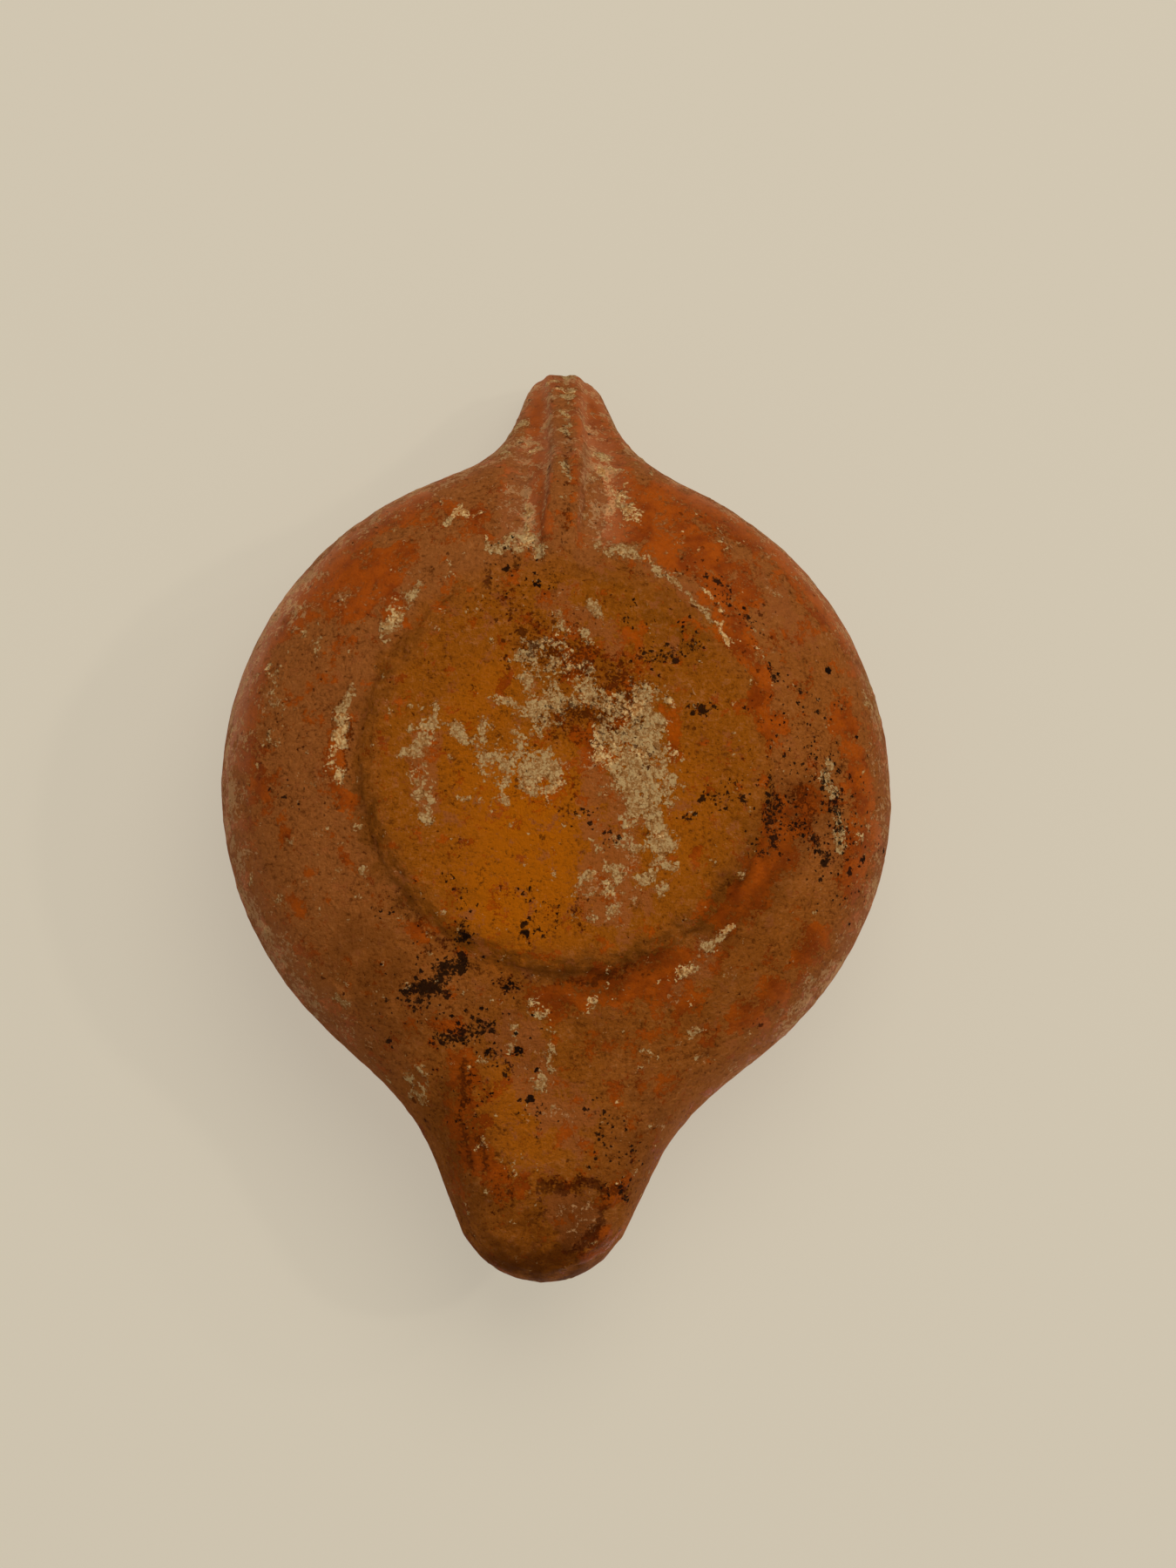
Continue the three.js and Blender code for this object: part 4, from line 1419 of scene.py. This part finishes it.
@dataclass(frozen=True)
class SlippedClay:
    """The outside: sandy fired clay with what is left of its red slip, lime crust and dark specks."""

    name: str = "slipped_clay"
    fabric: Colour = linear(151, 87, 38)
    # fabric_dark and ochre_dark fill the grain's hollows: painted shade.
    fabric_dark: Colour = linear(92, 44, 10)
    ochre: Colour = linear(150, 82, 12)
    ochre_dark: Colour = linear(92, 44, 4)
    slip_dark: Colour = linear(110, 38, 0, DARK_SLIP_GAIN)
    # The slip's paler colour on the steep sides: painted sheen.
    blush: Colour = linear(150, 86, 48)
    crust_mid: Colour = linear(158, 110, 60)
    # The crust grains' darker edges: painted shade.
    crust_dark: Colour = linear(110, 66, 28)
    # Paler on the grain's bumps: painted shading.
    pale: Coat = Coat(linear(170, 104, 52))
    cracks: Coat = Coat(linear(92, 44, 10), 0.35, -0.05)
    bright: Coat = Coat(linear(172, 92, 5))
    # Greenish-brown, and painted shade on one side of the foot's wall.
    olive: Coat = Coat(linear(98, 54, 8), 0.72)
    pink: Coat = Coat(linear(154, 86, 40))
    slip: Coat = Coat(linear(147, 63, 1, SLIP_GAIN), 0.86, 0.05)
    # Pale on the steep sides: painted sheen, and haze beside the ridge.
    film: Coat = Coat(linear(152, 92, 58))
    # Dark brown towards the nozzle: painted shade, partly the clay's own colour.
    smoke: Coat = Coat(linear(84, 38, 3, SOOT_GAIN))
    rust: Coat = Coat(linear(110, 38, 0, DARK_SLIP_GAIN), 0.22)
    fleck: Coat = Coat(linear(184, 138, 92), 0.72)
    crust: Coat = Coat(linear(190, 158, 108), 0.94)
    mottle: Coat = Coat(linear(74, 28, 2, SOOT_GAIN), 0.82, -0.08)
    # Painted shade in creases, and dark stain lines.
    crevice: Coat = Coat(linear(74, 28, 2, SOOT_GAIN), 0.7, -0.12)
    pits: Coat = Coat(linear(74, 28, 2, SOOT_GAIN), 0.7, -0.08)
    soot: Coat = Coat(linear(20, 13, 8, SOOT_GAIN), 0.92, -0.03)
    burnt: Coat = Coat(linear(44, 30, 22, SOOT_GAIN))
    pink_edge: Edge = Edge(0.60, 0.55, 0.48, 0.08)
    slip_edge: Edge = Edge(0.60, 0.55, 0.50, 0.03)
    rust_edge: Edge = Edge(0.25, 0.35, 0.62, 0.16)
    mottle_edge: Edge = Edge(0.12, 1.00, 1.00, 0.10)
    crevice_edge: Edge = Edge(0.40, 0.80, 0.78, 0.16)
    blot_edge: Edge = Edge(0.30, 0.50, 0.86, 0.12)
    rubbed: float = 0.67
    crust_level: float = 0.74
    crust_rise: float = 0.12
    grain_rise: float = 0.24
    clay_rough: float = 0.9
    slip_rough: float = 0.62
    shine: float = 0.02

    def build(self, effects: Effects) -> Material:
        """Make the material.

        Args:
            effects: The shared node groups.

        Returns:
            The material.
        """
        material, bench, shader = new_material(self.name)
        grain = bench.group(effects.grain, sand=1.0, drag=1.0)
        tone = grain.outputs["Tone"]
        veil = bench.stored(Trace.HAZE_AND_SHEEN)
        layers = Layers(bench, effects, self.fabric)
        self.lay_clay(layers, tone, grain.outputs["Cracks"])
        slip = self.lay_slip(layers, veil)
        self.lay_haze(layers, veil)
        crust = self.lay_crust(layers)
        self.lay_dirt(layers, tone)
        bench.feed(shader.inputs["Base Color"], layers.colour)
        rough = bench.step(slip, 0, 1, self.clay_rough, self.slip_rough)
        rough = bench.mixed_in(crust, 0.3, rough, clamp=True)
        bench.feed(shader.inputs["Roughness"], bench.mixed_in(tone, 0.04, rough, clamp=True))
        calm = bench.step(slip, 0, 1, 1.0, 0.35)
        layers.raise_by(bench.times(grain.outputs["Height"], calm), self.grain_rise)
        bench.bump(shader, layers.height, 1.0, 1.0)
        shader.inputs["Specular IOR Level"].default_value = self.shine
        return material

    def lay_clay(self, layers: Layers, tone: Socket, cracks: Socket) -> None:
        """Lay the bare clay: redder on the body, ochre on the foot, with pink and greenish-brown patches,
        painted shade on one side of the foot's wall, and the grain's painted shading.

        Args:
            layers: The coats so far.
            tone: The grain's tone, darker in its hollows and paler on its bumps as painted shading.
            cracks: The grain's short cracks.
        """
        bench = layers.bench
        ochre = bench.times(bench.stored(Finish.OCHRE), bench.step(tone, -1.2, 0.2, 0.8, 1.0))
        fabric = bench.blend(ochre, self.fabric, self.ochre)
        dark = bench.blend(ochre, self.fabric_dark, self.ochre_dark)
        # Darker where the grain is low, and paler on the next line where it is high: painted shading of the
        # grain.
        layers.colour = bench.blend(bench.step(tone, 0.05, -1.05), fabric, dark)
        layers.lay(bench.step(tone, 0.1, 0.9, 0.0, 0.7), self.pale)
        layers.lay(cracks, self.cracks)
        layers.lay(bench.times(bench.stored(Finish.BRIGHT), bench.step(tone, -0.9, 0.1)), self.bright)
        broken = bench.step(bench.cloud(1.6, 4, 0.65), 0.36, 0.6)
        # Painted shade on one side of the foot's wall, with a greenish-brown tint.
        layers.lay(bench.times(bench.stored(Finish.OLIVE_AND_SHADE), broken), self.olive)
        pink = layers.patches(Finish.PINK, self.pink_edge)
        layers.lay(bench.times(pink, bench.step(tone, -1.1, 0.2, 0.25, 0.78)), self.pink)

    def lay_slip(self, layers: Layers, veil: Socket) -> Socket:
        """Lay what is left of the red slip, rubbed through in places, and paler where it turns up: partly
        haze, partly painted sheen.

        Args:
            layers: The coats so far.
            veil: How hazy the place is, and how much painted sheen it has.

        Returns:
            Where the slip is.
        """
        bench = layers.bench
        # On the steep sides the slip is a little more rubbed through and paler: painted sheen, partly haze.
        rubbed = layers.flecks(bench.mixed_in(veil, 0.06, self.rubbed))
        slip = bench.times(layers.patches(Finish.SLIP, self.slip_edge), bench.maths("SUBTRACT", 1.0, rubbed))
        even = bench.step(bench.cloud(3.0, 4, 0.6), 0.36, 0.62)
        colour = bench.blend(even, self.slip_dark, self.slip.colour)
        layers.lay(slip, self.slip, bench.blend(bench.times(veil, 0.75), colour, self.blush))
        return slip

    def lay_haze(self, layers: Layers, veil: Socket) -> None:
        """Lay the pale haze and painted sheen of the steep sides, the dark brown and painted shade towards
        the nozzle, the rust and the pale flecks.

        Args:
            layers: The coats so far.
            veil: How hazy the place is, and how much painted sheen it has.
        """
        bench = layers.bench
        # Pale coat on the steep sides: painted sheen, and haze beside the ridge.
        layers.lay(bench.times(veil, bench.step(bench.cloud(2.8, 5, 0.7), 0.38, 0.58, 0.25, 0.7)), self.film)
        # Painted shade towards the nozzle, partly the clay's dark brown.
        smoke = bench.step(bench.cloud(3.4, 4), 0.25, 0.6)
        layers.lay(bench.times(bench.stored(Finish.SMOKE), smoke), self.smoke)
        layers.lay(layers.patches(Finish.MOTTLE, self.rust_edge), self.rust)
        # Pale flecks gather with the painted sheen on the steep sides, and in hollows, crust and pink
        # patches.
        amount = bench.times(bench.maths("POWER", veil, 0.6), 0.95)
        for mark, share in ((Trace.HOLLOW, 0.35), (Finish.CRUST, 0.35), (Finish.PINK, 0.45)):
            amount = bench.mixed_in(bench.stored(mark), share, amount)
        layers.lay(layers.flecks(amount), self.fleck)

    def lay_crust(self, layers: Layers) -> Socket:
        """Lay the lime crust.

        Args:
            layers: The coats so far.

        Returns:
            Where the crust is.
        """
        bench = layers.bench
        amount = bench.stored(Finish.CRUST)
        lime = bench.group(layers.effects.crust, amount=amount, level=self.crust_level)
        tone = lime.outputs["Tone"]
        # Paler on each grain's dome and darker at its edge: painted shading, besides each grain's own tint.
        colour = bench.blend(bench.step(tone, 0.15, 0.55), self.crust_mid, self.crust.colour)
        colour = bench.blend(bench.step(tone, 0.12, -0.08), colour, self.crust_dark)
        layers.lay(lime.outputs["Mask"], self.crust, colour)
        layers.raise_by(lime.outputs["Height"], self.crust_rise)
        return lime.outputs["Mask"]

    def lay_dirt(self, layers: Layers, tone: Socket) -> None:
        """Lay the dark mottle, the painted shade and dark stain lines in the creases, the pits, the soot and
        the burnt clay.

        Args:
            layers: The coats so far.
            tone: The grain's tone, darker in its hollows and paler on its bumps as painted shading.
        """
        bench = layers.bench
        dots = layers.specks(bench.times(bench.stored(Finish.MOTTLE), 0.6), 0.8)
        mottle = bench.maths("MAXIMUM", layers.patches(Finish.MOTTLE, self.mottle_edge), dots)
        layers.lay(mottle, self.mottle)
        # Painted shade in creases, and dark stain lines.
        layers.lay(layers.patches(Finish.CREVICE_SHADE_AND_STAIN, self.crevice_edge), self.crevice)
        layers.lay(layers.specks(bench.step(bench.cloud(9.0, 2), 0.42, 0.66, 0.015, 0.09), 0.7), self.pits)
        dots = layers.specks(bench.stored(Finish.SOOT), 0.9)
        layers.lay(bench.maths("MAXIMUM", dots, layers.patches(Finish.SOOT, self.blot_edge)), self.soot)
        burnt = bench.times(bench.stored(Trace.BURNT), bench.step(tone, 0.9, -0.7, 0.55, 0.95))
        layers.lay(burnt, self.burnt)


@dataclass(frozen=True)
class BareClay:
    """The chamber's wall: unslipped clay with a few dark specks."""

    name: str = "bare_clay"
    clay: Colour = linear(140, 82, 40, 1.28)
    dark: Colour = linear(92, 52, 24, 1.28)
    specks_cover: float = 0.7
    rough: float = 0.9
    rise: float = 0.12

    def build(self, effects: Effects) -> Material:
        """Make the material.

        Args:
            effects: The shared node groups.

        Returns:
            The material.
        """
        material, bench, shader = new_material(self.name)
        grain = bench.group(effects.grain, sand=1.0, drag=0.8)
        # Darker in the grain's hollows: painted shading.
        start = bench.blend(bench.step(grain.outputs["Tone"], -0.5, 0.5), self.dark, self.clay)
        layers = Layers(bench, effects, start)
        layers.lay(layers.specks(0.12, 0.8), Coat(self.dark, self.specks_cover))
        bench.feed(shader.inputs["Base Color"], layers.colour)
        shader.inputs["Roughness"].default_value = self.rough
        bench.bump(shader, grain.outputs["Height"], 0.9, self.rise)
        return material


@dataclass
class Stage:
    """The pale sheets behind and under the lamp, each shown from its own side only.

    Attributes:
        sheet_half: Half the size of the sheet behind the lamp, in mm.
        floor_half: Half the size of the floor, in mm.
        sheet_gap: How far the sheet is from the lamp, in mm.
        floor_gap: How far the floor is from it, in mm.
    """

    sheet_half: tuple[float, float] = (150.0, 180.0)
    floor_half: tuple[float, float] = (900.0, 900.0)
    sheet_gap: float = 0.25
    floor_gap: float = 0.02
    sheet_colour: Colour = linear(130, 124, 112, 1.0)
    floor_colour: Colour = linear(216, 208, 192, 1.0)

    def one_sided(self, name: str, colour: Colour, glow: float) -> Material:
        """Make a plain matt material whose back is clear.

        Args:
            name: Its name.
            colour: Its colour.
            glow: How strongly it glows by itself, which thins the shadows on it.

        Returns:
            The material.
        """
        material, bench, shader = new_material(name)
        shader.inputs["Base Color"].default_value = (*colour, 1)
        shader.inputs["Roughness"].default_value = 0.9
        shader.inputs["Specular IOR Level"].default_value = 0.0
        shader.inputs["Emission Color"].default_value = (*colour, 1)
        shader.inputs["Emission Strength"].default_value = glow
        nodes = material.node_tree.nodes
        choice = nodes.new("ShaderNodeMixShader")
        bench.feed(choice.inputs[0], nodes.new("ShaderNodeNewGeometry").outputs["Backfacing"])
        bench.feed(choice.inputs[1], shader.outputs[0])
        bench.feed(choice.inputs[2], nodes.new("ShaderNodeBsdfTransparent").outputs[0])
        bench.feed(nodes["Material Output"].inputs["Surface"], choice.outputs[0])
        return material

    def sheet(self, material: Material, half: tuple[float, float], height: float, down: bool) -> None:
        """Lay one level sheet.

        Args:
            material: Its material, whose name it takes.
            half: Half its size along X and Y, in mm.
            height: Its height in metres.
            down: Whether it faces down.
        """
        made = bmesh.new()
        bmesh.ops.create_grid(made, x_segments=1, y_segments=1, size=MM)
        bmesh.ops.scale(made, vec=(*half, 1), verts=made.verts)
        bmesh.ops.translate(made, vec=(0, 0, height), verts=made.verts)
        if down:
            bmesh.ops.reverse_faces(made, faces=made.faces)
        mesh = bpy.data.meshes.new(material.name)
        made.to_mesh(mesh)
        made.free()
        mesh.materials.append(material)
        sheet = add_object(material.name, mesh)
        for flag in ("visible_shadow", "visible_diffuse", "visible_glossy", "visible_transmission"):
            setattr(sheet, flag, False)

    def build(self) -> None:
        """Lay the sheet behind the lamp as seen from below, and the floor under it."""
        sheet = self.one_sided("pale_sheet", self.sheet_colour, 1.9)
        self.sheet(sheet, self.sheet_half, CAD_BOX[1].z + self.sheet_gap * MM, True)
        floor = self.one_sided("pale_floor", self.floor_colour, 0.25)
        self.sheet(floor, self.floor_half, CAD_BOX[0].z - self.floor_gap * MM, False)
        LOG.info("stage: pale sheet and pale floor")


@dataclass(frozen=True)
class SoftLight:
    """One soft round light.

    Attributes:
        name: Its name.
        towards: The direction from the lamp to the light.
        distance: How far off it is, in metres.
        size: How wide it is, in metres.
        power: Its power in watts.
    """

    name: str
    towards: Colour
    distance: float
    size: float
    power: float

    def build(self) -> None:
        """Hang the light and point it at the middle of the lamp."""
        data = bpy.data.lights.new(self.name, "AREA")
        data.shape = "DISK"
        data.size = self.size
        data.energy = self.power
        data.color = WARM_WHITE
        light = add_object(self.name, data)
        way = Vector(self.towards).normalized()
        light.location = Vector((0, 0, MIDDLE_HEIGHT * MM)) + way * self.distance
        light.rotation_euler = (-way).to_track_quat("-Z", "Y").to_euler()


@dataclass
class Studio:
    """The camera, the lights and the pale world.

    Attributes:
        lens: The camera's focal length, in mm of its film.
        distance: How far it is from the lamp, in mm.
        lean_nozzle: How far it is off the upright towards the nozzle, in degrees.
        lean_side: How far it is off the upright to the side, in degrees.
        roll: How far it is rolled, in degrees.
        aim_side: How far to the side of the lamp's middle it aims, in mm.
        aim_rise: How far above it aims, in mm.
        nearest: How near it can see, in mm.
        lights: The lights.
        world_strength: How bright the world is on the lamp.
        seen_strength: How bright the world itself looks.
    """

    lens: float = 85.0
    distance: float = 452.2
    lean_nozzle: float = 9.0
    lean_side: float = 3.475
    roll: float = 1.87
    aim_side: float = 3.63
    aim_rise: float = 0.31
    nearest: float = 10.0
    lights: tuple[SoftLight, ...] = (
        SoftLight("soft_front", (-0.12, 0.42, -0.90), 1.05, 0.9, 6.0),
        SoftLight("side_key", (-0.66, 0.13, -0.74), 1.2, 0.08, 1.9),
        SoftLight("low_key", (-0.72, 0.36, -0.60), 1.3, 0.08, 0.8),
        SoftLight("upper_key", (-0.35, -0.45, 0.82), 1.0, 0.45, 6.0),
        SoftLight("upper_fill", (0.6, 0.35, 0.72), 1.0, 0.6, 2.5),
    )
    world_strength: float = 0.40
    seen_strength: float = 0.72

    def camera(self) -> None:
        """Set the camera below the lamp, looking up at its foot."""
        side, lean = math.radians(self.lean_side), math.radians(self.lean_nozzle)
        out = Vector((math.sin(side), -math.sin(lean), -math.cos(lean) * math.cos(side))).normalized()
        right = (-out).cross(Vector((0, 1, 0))).normalized()
        rolled = Matrix.Rotation(math.radians(self.roll), 3, out)
        up = rolled @ right.cross(-out)
        right = rolled @ right
        target = Vector((0, FOOT_CENTRE_Y, MIDDLE_HEIGHT)) * MM
        place = target + out * self.distance * MM
        aim = target + (right * self.aim_side + up * self.aim_rise) * MM
        ahead = (aim - place).normalized()
        right = ahead.cross(up).normalized()
        data = bpy.data.cameras.new("camera")
        data.lens = self.lens
        data.clip_start = self.nearest * MM
        camera = add_object("camera", data)
        axes = Matrix((right, right.cross(ahead), -ahead)).transposed().to_4x4()
        camera.matrix_world = Matrix.Translation(place) @ axes
        bpy.context.scene.camera = camera

    def world(self) -> None:
        """Make the pale world, which looks brighter than the light that it gives."""
        world = bpy.data.worlds.new("pale_world")
        world.use_nodes = True
        bench = Bench(world.node_tree)
        back = world.node_tree.nodes["Background"]
        back.inputs["Color"].default_value = (*WARM_WHITE, 1)
        strength = world.node_tree.nodes.new("ShaderNodeMapRange")
        strength.inputs["To Min"].default_value = self.world_strength
        strength.inputs["To Max"].default_value = self.seen_strength
        rays = world.node_tree.nodes.new("ShaderNodeLightPath")
        bench.feed(strength.inputs["Value"], rays.outputs["Is Camera Ray"])
        bench.feed(back.inputs["Strength"], strength.outputs["Result"])
        bpy.context.scene.world = world

    def build(self) -> None:
        """Make the camera, the lights and the world."""
        self.camera()
        for light in self.lights:
            light.build()
        self.world()
        bpy.context.scene.view_settings.view_transform = "Standard"
        LOG.info("studio: camera and %d lights", len(self.lights))


@dataclass
class OilLamp:
    """The whole lamp: one piece of fired clay."""

    skin: ClaySkin = field(default_factory=ClaySkin)
    outside: SlippedClay = SlippedClay()
    chamber: BareClay = BareClay()

    def build(self) -> None:
        """Make the lamp's piece and dress it."""
        effects = Effects()
        effects.build()
        piece = self.skin.build()
        piece.data.materials.clear()
        piece.data.materials.append(self.outside.build(effects))
        piece.data.materials.append(self.chamber.build(effects))
        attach(piece, ROOT_BODY)
        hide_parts(CAD_NODE)
        LOG.info("%s: dressed", piece.name)


def main() -> None:
    """Build the studio, the stage and the lamp."""
    logging.basicConfig(level=logging.INFO, format="%(name)s: %(message)s")
    Studio().build()
    Stage().build()
    OilLamp().build()


if __name__ == "__main__":
    main()
